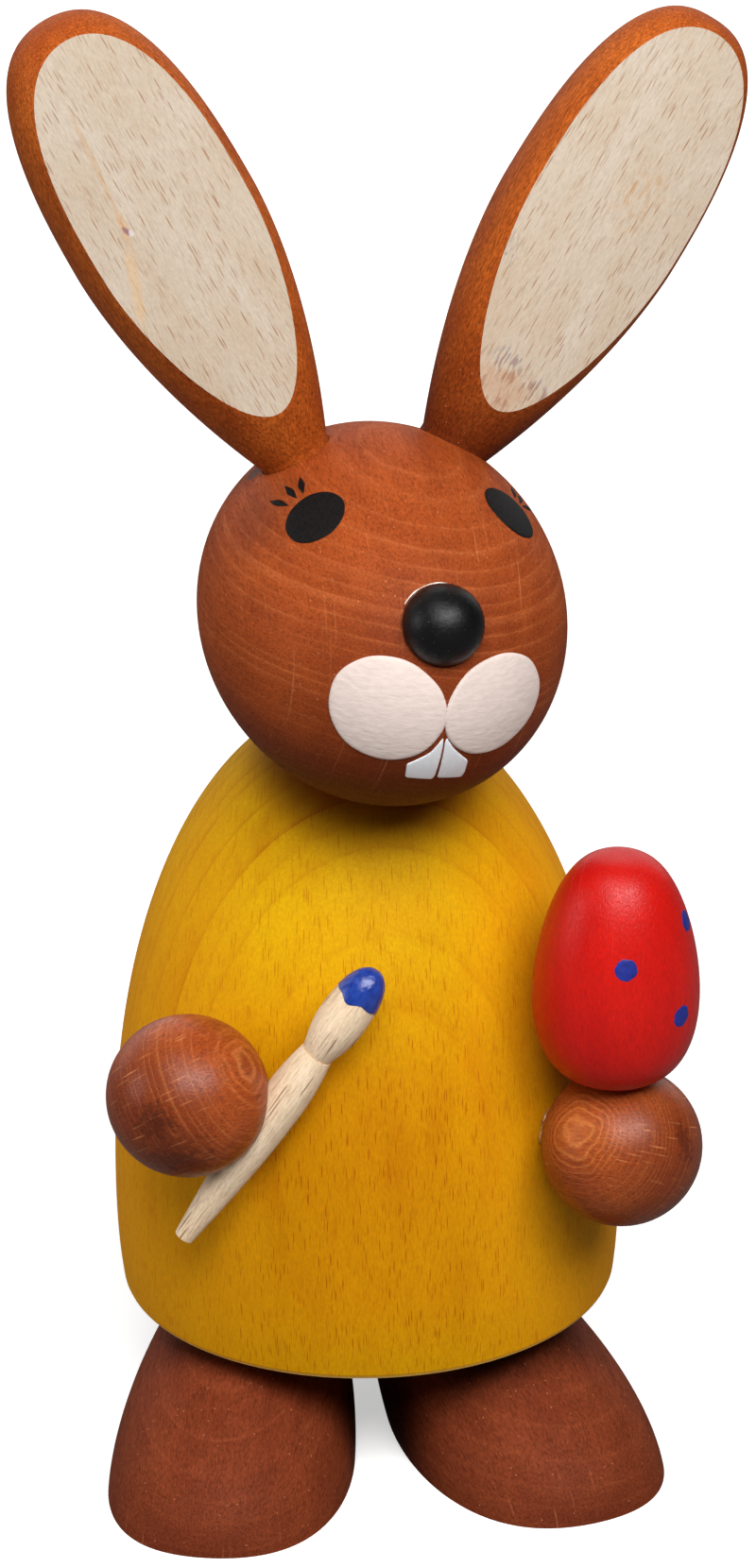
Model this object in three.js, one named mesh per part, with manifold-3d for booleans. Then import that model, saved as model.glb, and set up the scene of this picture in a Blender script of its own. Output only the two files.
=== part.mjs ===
import * as THREE from 'three';
import { mergeVertices, toCreasedNormals } from 'three/addons/utils/BufferGeometryUtils.js';
import Module from 'manifold-3d';

// A wooden rabbit of turned, stained and glued pieces, with an egg in one hand and a paint brush in
// the other. Lengths are in millimetres and angles in degrees. The figure faces -Y, its own left is
// on +X, the ground is z = 0 and the body's turning axis is Z.

const wasm = await Module();
wasm.setup();
const radians = THREE.MathUtils.degToRad;

// Body: a bell, widest low down, with a flat underside
const bodyRadius = 27.23;
const girthHeight = 26.75;
const crownRise = 54.77;
const crownFullness = 2.09;
const skirtDrop = 34.18;
const skirtFullness = 2.53;
const undersideHeight = 15.38;
const hemRound = 0.6;

// Head: a spheroid lying on its side, sunk into a cupped seat in the body's crown
const headLength = 48.5;
const headRadius = 18.73;
const headForward = 10.29;
const headSink = 4.03;
const headTurn = 4.98;
const headNod = 4.23;
const headTilt = 4.61;

// Ears: teardrops with one milled flat, plugged into drilled seats
const earRootRadius = 3.84;
const earRootDepth = 5;
const earSwell = 1.78;
const earTipFullness = 2.51;
const flatSlant = 2.07;
const rightEar = {
  length: 52.16, radius: 10.22, girthAt: 27.56, flatDistance: 5.44,
  apart: 8.96, behind: 6.49, lean: 31.37, back: 9.87, twist: 6.64,
};
const leftEar = {
  length: 51.02, radius: 10.0, girthAt: 26.96, flatDistance: 5.1,
  apart: 8.56, behind: 7.45, lean: 30.45, back: 8.24, twist: -8.83,
};

// Nose: a half ball on a short skirt, pegged into a spot-faced seat
const noseRadius = 4.19;
const noseSkirt = 0.45;
const noseElevation = 34.8;
const nosePegRadius = 1.5;
const nosePegLength = 5;

// Hands: balls, each sunk a little into a dish in the body
const handRadius = 8.48;
const handSink = 0.3;
const rightHand = { height: 49.84, azimuth: 42.8 };
const leftHand = { height: 40.35, azimuth: 41.06 };

// Egg: blunt end down on a small flat on top of the left hand
const eggForm = { length: 25.5, width: 17.44, fullness: 0.65, taper: -0.17 };
const eggTrim = 0.1;
const eggFlatDepth = 0.35;
const eggLean = { forward: 0.92, side: 1.25 };
const eggShift = { side: -0.76, back: 0.28 };

// Paint brush: handle, neck and bristle bulge turned in one, lying in the right hand's groove
const brushLength = 36.54;
const tailRadius = 1.05;
const handleRadius = 2.4;
const handleGirthAt = 19.4;
const neckRadius = 1.8;
const neckAt = 25.3;
const neckStep = 0.15;
const bristleRadius = 2.6;
const bristleGirthAt = 30;
const bristleFullness = 2.4;
const brushLean = 34.31;
const brushTurn = -9.38;
const gripOffset = 8.56;
const gripAt = 13.99;

// Feet: eggs with the blunt end at the toe, cut flat by the ground and by the body's underside
const footForm = { length: 52.17, width: 26.07, fullness: 0.668, taper: 0.254 };
const footTilt = 18.51;
const footTrim = 0.56;
const rightFoot = { apart: 15.73, forward: 8.68, toeOut: 16.6 };
const leftFoot = { apart: 12.73, forward: 8.97, toeOut: 12.98 };

// Dowels: how thick they are and how far they reach into the two pieces that they join
const neckDowel = { radius: 3, inBody: 12, inHead: 11 };
const handDowel = { radius: 2, inHand: 5, inBody: 7 };
const footDowel = { radius: 2, inFoot: 7, inBody: 8 };
const dowelChamfer = 0.5;

// Clearances, filled with glue on the real figure
const seatGap = 0.2;
const dowelGap = 0.2;
const holeEndGap = 0.5;

// Facets round each turned piece and along its outline, and the angle past which an edge is crisp
const bodyFacets = { round: 44, hem: 3, skirt: 5, crown: 17 };
const headFacets = { round: 36, along: 18 };
const earFacets = { round: 24, throat: 8, blade: 10 };
const handFacets = { round: 24, along: 12 };
const eggFacets = { round: 24, along: 14 };
const footFacets = { round: 28, along: 16 };
const noseFacets = { round: 20, dome: 6 };
const brushFacets = { round: 14, handle: 5, shoulder: 3, swell: 3, tip: 6 };
const dowelFacets = { round: 14 };
const crispEdge = radians(24);

const yellowStain = new THREE.MeshStandardMaterial({ color: 0xdaa505, roughness: 0.55, metalness: 0 });
const headStain = new THREE.MeshStandardMaterial({ color: 0xa04a1e, roughness: 0.5, metalness: 0 });
const earStain = new THREE.MeshStandardMaterial({ color: 0x96411a, roughness: 0.5, metalness: 0 });
const handStain = new THREE.MeshStandardMaterial({ color: 0x9a4a25, roughness: 0.4, metalness: 0 });
const footStain = new THREE.MeshStandardMaterial({ color: 0x7a3a22, roughness: 0.6, metalness: 0 });
const redStain = new THREE.MeshStandardMaterial({ color: 0xcd1e19, roughness: 0.45, metalness: 0 });
const blackPaint = new THREE.MeshStandardMaterial({ color: 0x1a1a1a, roughness: 0.4, metalness: 0 });
const paleBeech = new THREE.MeshStandardMaterial({ color: 0xdcc8a0, roughness: 0.6, metalness: 0 });
const dowelWood = new THREE.MeshStandardMaterial({ color: 0xd9bf94, roughness: 0.7, metalness: 0 });

// Evenly spaced values from one end to the other, both ends included.
function span(from, to, steps) {
  return Array.from({ length: steps + 1 }, (unused, i) => from + (to - from) * i / steps);
}

// Half a bow that bulges from its widest point to a closed end: [radius, height] along the angle.
function bow(radius, rise, fullness, angle) {
  return [
    radius * Math.max(Math.cos(angle), 0) ** (2 / fullness),
    rise * Math.sin(angle) ** (2 / fullness),
  ];
}

// The bell's radius at a height.
function bodyRadiusAt(height) {
  const above = height - girthHeight;
  const reach = above > 0 ? above / crownRise : -above / skirtDrop;
  const fullness = above > 0 ? crownFullness : skirtFullness;
  return bodyRadius * Math.max(1 - reach ** fullness, 0) ** (1 / fullness);
}

// Underside, rounded hem, skirt and crown, from the axis up to the axis again.
function bodyOutline() {
  const hemTop = undersideHeight + hemRound;
  const hemCentre = bodyRadiusAt(hemTop) - hemRound;
  const hem = span(-90, 0, bodyFacets.hem).map((angle) => [
    hemCentre + hemRound * Math.cos(radians(angle)),
    hemTop + hemRound * Math.sin(radians(angle)),
  ]);
  const skirtStart = Math.asin(((girthHeight - hemTop) / skirtDrop) ** (skirtFullness / 2));
  const skirt = span(skirtStart, 0, bodyFacets.skirt).map((angle) => {
    const [radius, drop] = bow(bodyRadius, skirtDrop, skirtFullness, angle);
    return [radius, girthHeight - drop];
  });
  const crown = span(0, Math.PI / 2, bodyFacets.crown).map((angle) => {
    const [radius, rise] = bow(bodyRadius, crownRise, crownFullness, angle);
    return [radius, girthHeight + rise];
  });
  return [[0, undersideHeight], ...hem, ...skirt.slice(1), ...crown.slice(1)];
}

// A spheroid from pole to pole, grown by a clearance.
function spheroidOutline(halfLength, radius, along, gap = 0) {
  return span(-90, 90, along).map((angle) => [
    (radius + gap) * Math.cos(radians(angle)),
    (halfLength + gap) * Math.sin(radians(angle)),
  ]);
}

// An egg from its thin pole up to its blunt pole, centred on the middle of its length.
function eggOutline({ length, width, fullness, taper }, facets) {
  const root = Math.sqrt(fullness ** 2 + 4 * taper ** 2 * (fullness + 1));
  const widest = 2 * taper / (fullness + root);
  const peak = (1 - widest ** 2) ** (fullness / 2) * (1 + taper * widest);
  return span(180, 0, facets).map((angle) => {
    const along = Math.cos(radians(angle));
    const round = Math.max(1 - along ** 2, 0) ** (fullness / 2);
    return [width / 2 * round * (1 + taper * along) / peak, length / 2 * along];
  });
}

// An ear's swell from the seat up to just under its widest point.
function earThroat({ radius, girthAt }) {
  return span(0, girthAt, earFacets.throat).slice(0, -1).map((height) => {
    const short = (girthAt - height) / girthAt;
    return [radius - (radius - earRootRadius) * short ** earSwell, height];
  });
}

// An ear from the foot of its root, through the throat at the seat, to its tip.
function earOutline(ear) {
  const blade = span(0, Math.PI / 2, earFacets.blade).map((angle) => {
    const [across, rise] = bow(ear.radius, ear.length - ear.girthAt, earTipFullness, angle);
    return [across, ear.girthAt + rise];
  });
  return [
    [0, -earRootDepth],
    [earRootRadius - dowelChamfer, -earRootDepth],
    [earRootRadius, -earRootDepth + dowelChamfer],
    ...earThroat(ear),
    ...blade,
  ];
}

// The drilled and flared seat that an ear's root and throat fit.
function earSeatOutline(ear) {
  const holeEnd = -earRootDepth - holeEndGap;
  const flare = earThroat(ear).map(([across, height]) => [across + seatGap, height]);
  return [
    [0, holeEnd],
    [earRootRadius + seatGap, holeEnd],
    ...flare,
    [0, ear.girthAt],
  ];
}

// A half ball on its skirt and peg, from the foot of the peg up.
function noseOutline() {
  const dome = span(0, 90, noseFacets.dome).map((angle) => [
    noseRadius * Math.cos(radians(angle)),
    noseRadius * Math.sin(radians(angle)),
  ]);
  return [
    [0, -noseSkirt - nosePegLength],
    [nosePegRadius, -noseSkirt - nosePegLength],
    [nosePegRadius, -noseSkirt],
    [noseRadius, -noseSkirt],
    ...dome,
  ];
}

// The spot-faced seat and peg hole that the nose fits, up past the head's surface.
function noseSeatOutline() {
  const holeEnd = -noseSkirt - nosePegLength - holeEndGap;
  return [
    [0, holeEnd],
    [nosePegRadius + dowelGap, holeEnd],
    [nosePegRadius + dowelGap, -noseSkirt - seatGap],
    [noseRadius + seatGap, -noseSkirt - seatGap],
    [noseRadius + seatGap, noseRadius],
    [0, noseRadius],
  ];
}

// The brush from the flat tail, over the handle's shoulder and neck, to the bristles' blunt tip.
function brushOutline() {
  const handle = span(0, 1, brushFacets.handle).map((part) => [
    tailRadius + (handleRadius - tailRadius) * Math.sin(part * Math.PI / 2),
    part * handleGirthAt,
  ]);
  const shoulder = span(0, 1, brushFacets.shoulder).map((part) => [
    neckRadius + (handleRadius - neckRadius) * Math.cos(part * Math.PI / 2),
    handleGirthAt + part * (neckAt - handleGirthAt),
  ]);
  const ferrule = neckRadius - neckStep;
  const swell = span(0, 1, brushFacets.swell).map((part) => [
    ferrule + (bristleRadius - ferrule) * Math.sin(part * Math.PI / 2),
    neckAt + part * (bristleGirthAt - neckAt),
  ]);
  const tip = span(0, Math.PI / 2, brushFacets.tip).map((angle) => {
    const [radius, rise] = bow(bristleRadius, brushLength - bristleGirthAt, bristleFullness, angle);
    return [radius, bristleGirthAt + rise];
  });
  return [[0, 0], ...handle, ...shoulder.slice(1), ...swell, ...tip.slice(1)];
}

// A dowel between two heights with chamfered ends.
function dowelOutline(radius, bottom, top) {
  return [
    [0, bottom],
    [radius - dowelChamfer, bottom],
    [radius, bottom + dowelChamfer],
    [radius, top - dowelChamfer],
    [radius - dowelChamfer, top],
    [0, top],
  ];
}

// The hole for such a dowel, wider by the fit and deeper at both ends.
function holeOutline(radius, bottom, top) {
  return [
    [0, bottom - holeEndGap],
    [radius + dowelGap, bottom - holeEndGap],
    [radius + dowelGap, top + holeEndGap],
    [0, top + holeEndGap],
  ];
}

// A solid of revolution about Z from an outline of [radius, height] points, lowest first.
function turned(outline, { round }) {
  const points = outline.map(([radius, height]) => new THREE.Vector2(radius, height));
  return new THREE.LatheGeometry(points, round).rotateX(Math.PI / 2);
}

// A solid for cutting and joining, moved into place, with shared corners and without the flat
// slivers at the poles.
function toSolid(geometry, move = new THREE.Matrix4()) {
  const bare = geometry.clone();
  bare.deleteAttribute('normal');
  bare.deleteAttribute('uv');
  const merged = mergeVertices(bare).applyMatrix4(move);
  const corners = Array.from(merged.index.array);
  const triangles = [];
  for (let i = 0; i < corners.length; i += 3) {
    const triangle = corners.slice(i, i + 3);
    if (new Set(triangle).size === 3) {
      triangles.push(...triangle);
    }
  }
  return new wasm.Manifold(new wasm.Mesh({
    numProp: 3,
    vertProperties: merged.attributes.position.array,
    triVerts: new Uint32Array(triangles),
  }));
}

function toGeometry(solid) {
  const { vertProperties, triVerts } = solid.getMesh();
  const geometry = new THREE.BufferGeometry();
  geometry.setAttribute('position', new THREE.BufferAttribute(vertProperties, 3));
  geometry.setIndex(new THREE.BufferAttribute(triVerts, 1));
  return toCreasedNormals(geometry, crispEdge);
}

// A frame inside another, turned about X, Y and Z in the given order.
function frame(parent, position, turns = [0, 0, 0], order = 'XYZ') {
  const group = new THREE.Group();
  group.position.set(...position);
  group.rotation.set(...turns.map(radians), order);
  parent.add(group);
  return group;
}

// A named piece of the figure, standing in its frame.
function piece(name, geometry, parent, material) {
  const mesh = new THREE.Mesh(geometry, material);
  mesh.name = name;
  parent.add(mesh);
  return mesh;
}

// Takes each tool, a geometry standing in a frame of its own, out of a piece.
function carve(mesh, ...cuts) {
  const toPiece = mesh.matrixWorld.clone().invert();
  let solid = toSolid(mesh.geometry);
  for (const [tool, place] of cuts) {
    solid = solid.subtract(toSolid(tool, toPiece.clone().multiply(place.matrixWorld)));
  }
  mesh.geometry = toGeometry(solid);
}

// How far the hand's centre stands from the body's axis, and the slope of the body where it sits,
// found among evenly spaced slopes.
function handSeat({ height }) {
  const steepest = 80;
  const slopes = span(-steepest, steepest, 8 * steepest);
  const centreDistance = handRadius - handSink;
  const touches = slopes.map((slope) => {
    const drop = centreDistance * Math.sin(radians(slope));
    const reach = bodyRadiusAt(height - drop) + centreDistance * Math.cos(radians(slope));
    return { slope, reach };
  });
  return touches.reduce((far, touch) => (touch.reach > far.reach ? touch : far));
}

// The foot's topmost point while the egg lies with its toe tilted down.
function footCrown() {
  const tilt = radians(footTilt);
  const fineFacets = 180;
  const points = eggOutline(footForm, fineFacets).map(([radius, along]) => ({
    height: radius * Math.cos(tilt) - along * Math.sin(tilt),
    forward: radius * Math.sin(tilt) + along * Math.cos(tilt),
  }));
  return points.reduce((top, point) => (point.height > top.height ? point : top));
}

// Frames
const figure = new THREE.Group();
const headHeight = girthHeight + crownRise + headRadius - headSink;
const headFrame = frame(
  figure,
  [headForward * Math.sin(radians(headTurn)), -headForward * Math.cos(radians(headTurn)), headHeight],
  [headNod, headTilt, headTurn],
  'ZXY',
);
const headAxis = frame(headFrame, [0, 0, 0], [90, 0, 0]);

function earFrame(side, { apart, behind, lean, back, twist }) {
  const behindShare = behind / (headLength / 2);
  const seatHeight = Math.sqrt(headRadius ** 2 * (1 - behindShare ** 2) - apart ** 2);
  return frame(headFrame, [side * apart, behind, seatHeight], [-back, side * lean, twist], 'YXZ');
}

const rightEarFrame = earFrame(-1, rightEar);
const leftEarFrame = earFrame(1, leftEar);

const noseForward = (headLength / 2) ** 2 * Math.cos(radians(noseElevation));
const noseUp = headRadius ** 2 * Math.sin(radians(noseElevation));
const noseScale = Math.hypot(noseForward / (headLength / 2), noseUp / headRadius);
const noseFrame = frame(
  headFrame,
  [0, -noseForward / noseScale, noseUp / noseScale],
  [90 - noseElevation, 0, 0],
);

function handFrame(side, hand) {
  const { slope, reach } = handSeat(hand);
  const azimuth = radians(hand.azimuth);
  const centre = [side * reach * Math.sin(azimuth), -reach * Math.cos(azimuth), hand.height];
  return frame(figure, centre, [-slope, 0, side * hand.azimuth], 'ZXY');
}

const rightHandFrame = handFrame(-1, rightHand);
const leftHandFrame = handFrame(1, leftHand);
const towardBody = [-90, 0, 0];
const rightDowelFrame = frame(rightHandFrame, [0, 0, 0], towardBody);
const leftDowelFrame = frame(leftHandFrame, [0, 0, 0], towardBody);

const gripFrame = frame(figure, rightHandFrame.position.toArray(), [0, brushLean, brushTurn], 'ZYX');
const brushFrame = frame(gripFrame, [gripOffset, 0, -gripAt]);

const eggSeatHeight = leftHand.height + handRadius - eggFlatDepth;
const eggSeatFrame = frame(figure, [
  leftHandFrame.position.x + eggShift.side,
  leftHandFrame.position.y + eggShift.back,
  eggSeatHeight,
]);
const eggAxis = frame(eggSeatFrame, [0, 0, 0], [eggLean.forward, eggLean.side, 0]);

function footFrame(side, { apart, forward, toeOut }) {
  return frame(figure, [side * apart, -forward, 0], [0, 0, side * toeOut]);
}

const crown = footCrown();
const footLift = undersideHeight + footTrim - crown.height;
const rightFootFrame = footFrame(-1, rightFoot);
const leftFootFrame = footFrame(1, leftFoot);
const toeDown = [90 + footTilt, 0, 0];
const rightFootAxis = frame(rightFootFrame, [0, 0, footLift], toeDown);
const leftFootAxis = frame(leftFootFrame, [0, 0, footLift], toeDown);
const underRight = frame(rightFootFrame, [0, -crown.forward, undersideHeight]);
const underLeft = frame(leftFootFrame, [0, -crown.forward, undersideHeight]);

// Pieces as they come off the lathe
const headOutline = spheroidOutline(headLength / 2, headRadius, headFacets.along);
const handOutline = spheroidOutline(handRadius, handRadius, handFacets.along);
const footOutline = eggOutline(footForm, footFacets.along);
const easterEgg = eggOutline(eggForm, eggFacets.along);

const body = piece('body', turned(bodyOutline(), bodyFacets), figure, yellowStain);
const head = piece('head', turned(headOutline, headFacets), headAxis, headStain);
const ears = [
  piece('right_ear', turned(earOutline(rightEar), earFacets), rightEarFrame, earStain),
  piece('left_ear', turned(earOutline(leftEar), earFacets), leftEarFrame, earStain),
];
piece('nose', turned(noseOutline(), noseFacets), noseFrame, blackPaint);
const grippingHand = piece('right_hand', turned(handOutline, handFacets), rightDowelFrame, handStain);
const holdingHand = piece('left_hand', turned(handOutline, handFacets), leftDowelFrame, handStain);
piece('paint_brush', turned(brushOutline(), brushFacets), brushFrame, paleBeech);
const egg = piece('egg', turned(easterEgg, eggFacets), eggAxis, redStain);
egg.position.z = eggForm.length / 2 - eggTrim;
const feet = [
  piece('right_foot', turned(footOutline, footFacets), rightFootAxis, footStain),
  piece('left_foot', turned(footOutline, footFacets), leftFootAxis, footStain),
];

// Dowels and their holes
const neckHeight = headHeight - headRadius * Math.sqrt(1 - (2 * headForward / headLength) ** 2);
const neckEnds = [neckHeight - neckDowel.inBody, neckHeight + neckDowel.inHead];
const handTouch = handRadius - handSink;
const handEnds = [handTouch - handDowel.inHand, handTouch + handDowel.inBody];
const footEnds = [-footDowel.inFoot, footDowel.inBody];

function dowel(name, { radius }, ends, place) {
  piece(name, turned(dowelOutline(radius, ...ends), dowelFacets), place, dowelWood);
}

function hole({ radius }, ends, place) {
  return [turned(holeOutline(radius, ...ends), dowelFacets), place];
}

dowel('neck_dowel', neckDowel, neckEnds, figure);
dowel('right_hand_dowel', handDowel, handEnds, rightDowelFrame);
dowel('left_hand_dowel', handDowel, handEnds, leftDowelFrame);
dowel('right_foot_dowel', footDowel, footEnds, underRight);
dowel('left_foot_dowel', footDowel, footEnds, underLeft);

const neckHole = hole(neckDowel, neckEnds, figure);
const rightHandHole = hole(handDowel, handEnds, rightDowelFrame);
const leftHandHole = hole(handDowel, handEnds, leftDowelFrame);
const rightFootHole = hole(footDowel, footEnds, underRight);
const leftFootHole = hole(footDowel, footEnds, underLeft);

// Seats and flats. A slab fills the space above or below a level, well past the whole figure.
const slabSize = 4 * (girthHeight + crownRise);
const slabAbove = new THREE.BoxGeometry(slabSize, slabSize, slabSize).translate(0, 0, slabSize / 2);
const slabBelow = new THREE.BoxGeometry(slabSize, slabSize, slabSize).translate(0, 0, -slabSize / 2);

const headSeatOutline = spheroidOutline(headLength / 2, headRadius, headFacets.along, seatGap);
const handDishOutline = spheroidOutline(handRadius, handRadius, handFacets.along, seatGap);
const headSeat = [turned(headSeatOutline, headFacets), headAxis];
const handDish = turned(handDishOutline, handFacets);
const rightEarSeat = [turned(earSeatOutline(rightEar), earFacets), rightEarFrame];
const leftEarSeat = [turned(earSeatOutline(leftEar), earFacets), leftEarFrame];
const noseSeat = [turned(noseSeatOutline(), noseFacets), noseFrame];
const grooveOutline = [
  [0, 0],
  [handleRadius + seatGap, 0],
  [handleRadius + seatGap, brushLength],
  [0, brushLength],
];
const groove = [turned(grooveOutline, brushFacets), brushFrame];
const eggFlat = [slabAbove, eggSeatFrame];
const eggFoot = [slabBelow, frame(eggSeatFrame, [0, 0, seatGap])];
const groundCut = [slabBelow, figure];
const undersideCut = [slabAbove, frame(figure, [0, 0, undersideHeight - seatGap])];

// The milled flat is on the ear's front and comes nearer to its axis toward the tip.
function earFlat({ length, radius, girthAt, flatDistance }, place) {
  const cutter = new THREE.BoxGeometry(3 * radius, 2 * radius, 3 * length).translate(0, -radius, 0);
  return [cutter, frame(place, [0, -flatDistance, girthAt], [-flatSlant, 0, 0])];
}

const rightEarFlat = earFlat(rightEar, rightEarFrame);
const leftEarFlat = earFlat(leftEar, leftEarFrame);

figure.updateMatrixWorld(true);
carve(
  body,
  headSeat,
  neckHole,
  [handDish, rightDowelFrame],
  [handDish, leftDowelFrame],
  rightHandHole,
  leftHandHole,
  rightFootHole,
  leftFootHole,
);
carve(head, neckHole, rightEarSeat, leftEarSeat, noseSeat);
carve(ears[0], rightEarFlat);
carve(ears[1], leftEarFlat);
carve(grippingHand, rightHandHole, groove);
carve(holdingHand, leftHandHole, eggFlat);
carve(egg, eggFoot);
carve(feet[0], groundCut, undersideCut, rightFootHole);
carve(feet[1], groundCut, undersideCut, leftFootHole);

// The origin is on the ground under the middle of the whole figure.
const box = new THREE.Box3().setFromObject(figure, true);
const middle = box.getCenter(new THREE.Vector3());
figure.position.set(-middle.x, -middle.y, 0);

const group = new THREE.Group();
group.add(figure);
export default group;
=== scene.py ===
# Wooden Easter rabbit: turned beech, stained, glued together and painted by hand.
# The dictionaries hold millimetres and degrees. Scene and meshes are in metres.
from math import atan2, cos, hypot, pi, radians, sin, sqrt

import bmesh
import bpy
from mathutils import Matrix, Vector


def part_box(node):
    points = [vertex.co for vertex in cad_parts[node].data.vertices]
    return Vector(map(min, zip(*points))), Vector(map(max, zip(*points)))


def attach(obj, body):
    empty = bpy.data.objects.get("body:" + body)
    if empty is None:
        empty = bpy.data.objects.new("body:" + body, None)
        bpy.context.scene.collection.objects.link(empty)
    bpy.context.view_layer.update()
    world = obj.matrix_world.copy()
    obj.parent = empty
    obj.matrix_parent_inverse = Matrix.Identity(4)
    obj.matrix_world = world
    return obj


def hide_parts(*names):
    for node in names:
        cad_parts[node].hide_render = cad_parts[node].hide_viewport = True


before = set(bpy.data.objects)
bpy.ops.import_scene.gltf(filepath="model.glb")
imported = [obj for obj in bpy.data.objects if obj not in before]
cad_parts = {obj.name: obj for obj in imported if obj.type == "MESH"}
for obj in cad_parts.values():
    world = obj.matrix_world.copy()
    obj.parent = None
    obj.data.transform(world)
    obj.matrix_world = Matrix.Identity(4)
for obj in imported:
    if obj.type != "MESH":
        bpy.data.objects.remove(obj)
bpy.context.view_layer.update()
scene = bpy.context.scene

mm = 0.001
bodyLow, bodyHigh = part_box("body")  # the body's turning axis stands in the middle of its box
axisFoot = Vector(((bodyLow.x + bodyHigh.x) / 2, (bodyLow.y + bodyHigh.y) / 2, 0))
toRow = Matrix.Translation(axisFoot) @ Matrix.Scale(mm, 4)
seatGap = 0.2  # glue film between two pieces
dowelGap = 0.2
holeEndGap = 0.5


def spot(x, y, z):
    return Matrix.Translation((x, y, z))


def turn(angle, axis):
    return Matrix.Rotation(radians(angle), 4, axis)


def bow(radius, angle, height=0):  # a point on a circle round the Z axis
    return Vector((radius * cos(radians(angle)), radius * sin(radians(angle)), height))


def paintColour(red, green, blue):  # 0 to 255, as picked with an eyedropper
    def linear(value):
        part = value / 255
        return part / 12.92 if part <= 0.04045 else ((part + 0.055) / 1.055) ** 2.4
    return (linear(red), linear(green), linear(blue), 1)


# ---- sizes and places, in the figure's own millimetres: it faces -Y, its left is +X

bodyForm = {"radius": 27.23, "girthHeight": 26.75, "crownRise": 54.77, "crownFullness": 2.09,
            "skirtDrop": 34.18, "skirtFullness": 2.53, "underside": 15.38, "hemRound": 0.6}
headForm = {"length": 48.5, "radius": 18.73, "forward": 10.29, "sink": 4.03,
            "turn": 4.98, "nod": 4.23, "tilt": 4.61}
earRoot = {"radius": 3.84, "depth": 5, "swell": 1.78, "tipFullness": 2.51, "flatSlant": 2.07, "chamfer": 0.5}
rightEar = {"length": 52.16, "radius": 10.22, "girthAt": 27.56, "flatDistance": 5.44,
            "apart": 8.96, "behind": 6.49, "lean": 31.37, "back": 9.87, "twist": 6.64}
leftEar = {"length": 51.02, "radius": 10.0, "girthAt": 26.96, "flatDistance": 5.1,
           "apart": 8.56, "behind": 7.45, "lean": 30.45, "back": 8.24, "twist": -8.83}
noseForm = {"radius": 4.19, "skirt": 0.45, "elevation": 34.8, "pegRadius": 1.5, "pegLength": 5}
handForm = {"radius": 8.48, "sink": 0.3}
rightHand = {"height": 49.84, "azimuth": 42.8}
leftHand = {"height": 40.35, "azimuth": 41.06}
eggForm = {"length": 25.5, "width": 17.44, "fullness": 0.65, "taper": -0.17, "trim": 0.1, "flatDepth": 0.35,
           "leanForward": 0.92, "leanSide": 1.25, "shiftSide": -0.76, "shiftBack": 0.28}
brushForm = {"length": 36.54, "tail": 1.05, "handle": 2.4, "handleAt": 19.4, "neck": 1.8, "neckAt": 25.3,
             "neckStep": 0.15, "bristle": 2.6, "bristleAt": 30, "bristleFullness": 2.4,
             "lean": 34.31, "turn": -9.38, "gripOffset": 8.56, "gripAt": 13.99}
footForm = {"length": 52.17, "width": 26.07, "fullness": 0.668, "taper": 0.254, "tilt": 18.51, "trim": 0.56}
rightFoot = {"apart": 15.73, "forward": 8.68, "toeOut": 16.6}
leftFoot = {"apart": 12.73, "forward": 8.97, "toeOut": 12.98}
neckDowel = {"radius": 3, "inBody": 12, "inHead": 11}
handDowel = {"radius": 2, "inHand": 5, "inBody": 7}
footDowel = {"radius": 2, "inFoot": 7, "inBody": 8}


def bodyRadiusAt(height):
    above = height - bodyForm["girthHeight"]
    reach = above / bodyForm["crownRise"] if above > 0 else -above / bodyForm["skirtDrop"]
    fullness = bodyForm["crownFullness"] if above > 0 else bodyForm["skirtFullness"]
    return bodyForm["radius"] * max(1 - reach ** fullness, 0) ** (1 / fullness)


def handPlace(side, hand):  # the ball sinks a little into the bell wherever the bell reaches out furthest
    distance = handForm["radius"] - handForm["sink"]
    slopes = [step / 8 for step in range(-640, 641)]
    def reachOf(slope):
        drop = distance * sin(radians(slope))
        return bodyRadiusAt(hand["height"] - drop) + distance * cos(radians(slope))
    slope = max(slopes, key=reachOf)
    reach = reachOf(slope)
    azimuth = radians(hand["azimuth"])
    centre = spot(side * reach * sin(azimuth), -reach * cos(azimuth), hand["height"])
    return centre @ turn(side * hand["azimuth"], "Z") @ turn(-slope, "X")


def eggRadius(form, along):  # along runs from -1 at the thin pole to 1 at the blunt pole
    fullness = form["fullness"]
    taper = form["taper"]
    widest = 2 * taper / (fullness + sqrt(fullness ** 2 + 4 * taper ** 2 * (fullness + 1)))
    peak = (1 - widest ** 2) ** (fullness / 2) * (1 + taper * widest)
    return form["width"] / 2 * max(1 - along ** 2, 0) ** (fullness / 2) * (1 + taper * along) / peak


def footCrown():  # the highest point of the tilted egg: how high, and how far forward
    tilt = radians(footForm["tilt"])
    best = (-1, 0)
    for step in range(181):
        along = cos(radians(180 - step))
        radius = eggRadius(footForm, along)
        height = radius * cos(tilt) - footForm["length"] / 2 * along * sin(tilt)
        forward = radius * sin(tilt) + footForm["length"] / 2 * along * cos(tilt)
        best = max(best, (height, forward))
    return best


headHeight = bodyForm["girthHeight"] + bodyForm["crownRise"] + headForm["radius"] - headForm["sink"]
headPlace = (spot(headForm["forward"] * sin(radians(headForm["turn"])),
                  -headForm["forward"] * cos(radians(headForm["turn"])), headHeight)
             @ turn(headForm["turn"], "Z") @ turn(headForm["nod"], "X") @ turn(headForm["tilt"], "Y"))
headAxis = headPlace @ turn(90, "X")


def earPlace(side, ear):
    share = ear["behind"] / (headForm["length"] / 2)
    seat = sqrt(headForm["radius"] ** 2 * (1 - share ** 2) - ear["apart"] ** 2)
    return (headPlace @ spot(side * ear["apart"], ear["behind"], seat)
            @ turn(side * ear["lean"], "Y") @ turn(-ear["back"], "X") @ turn(ear["twist"], "Z"))


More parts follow.
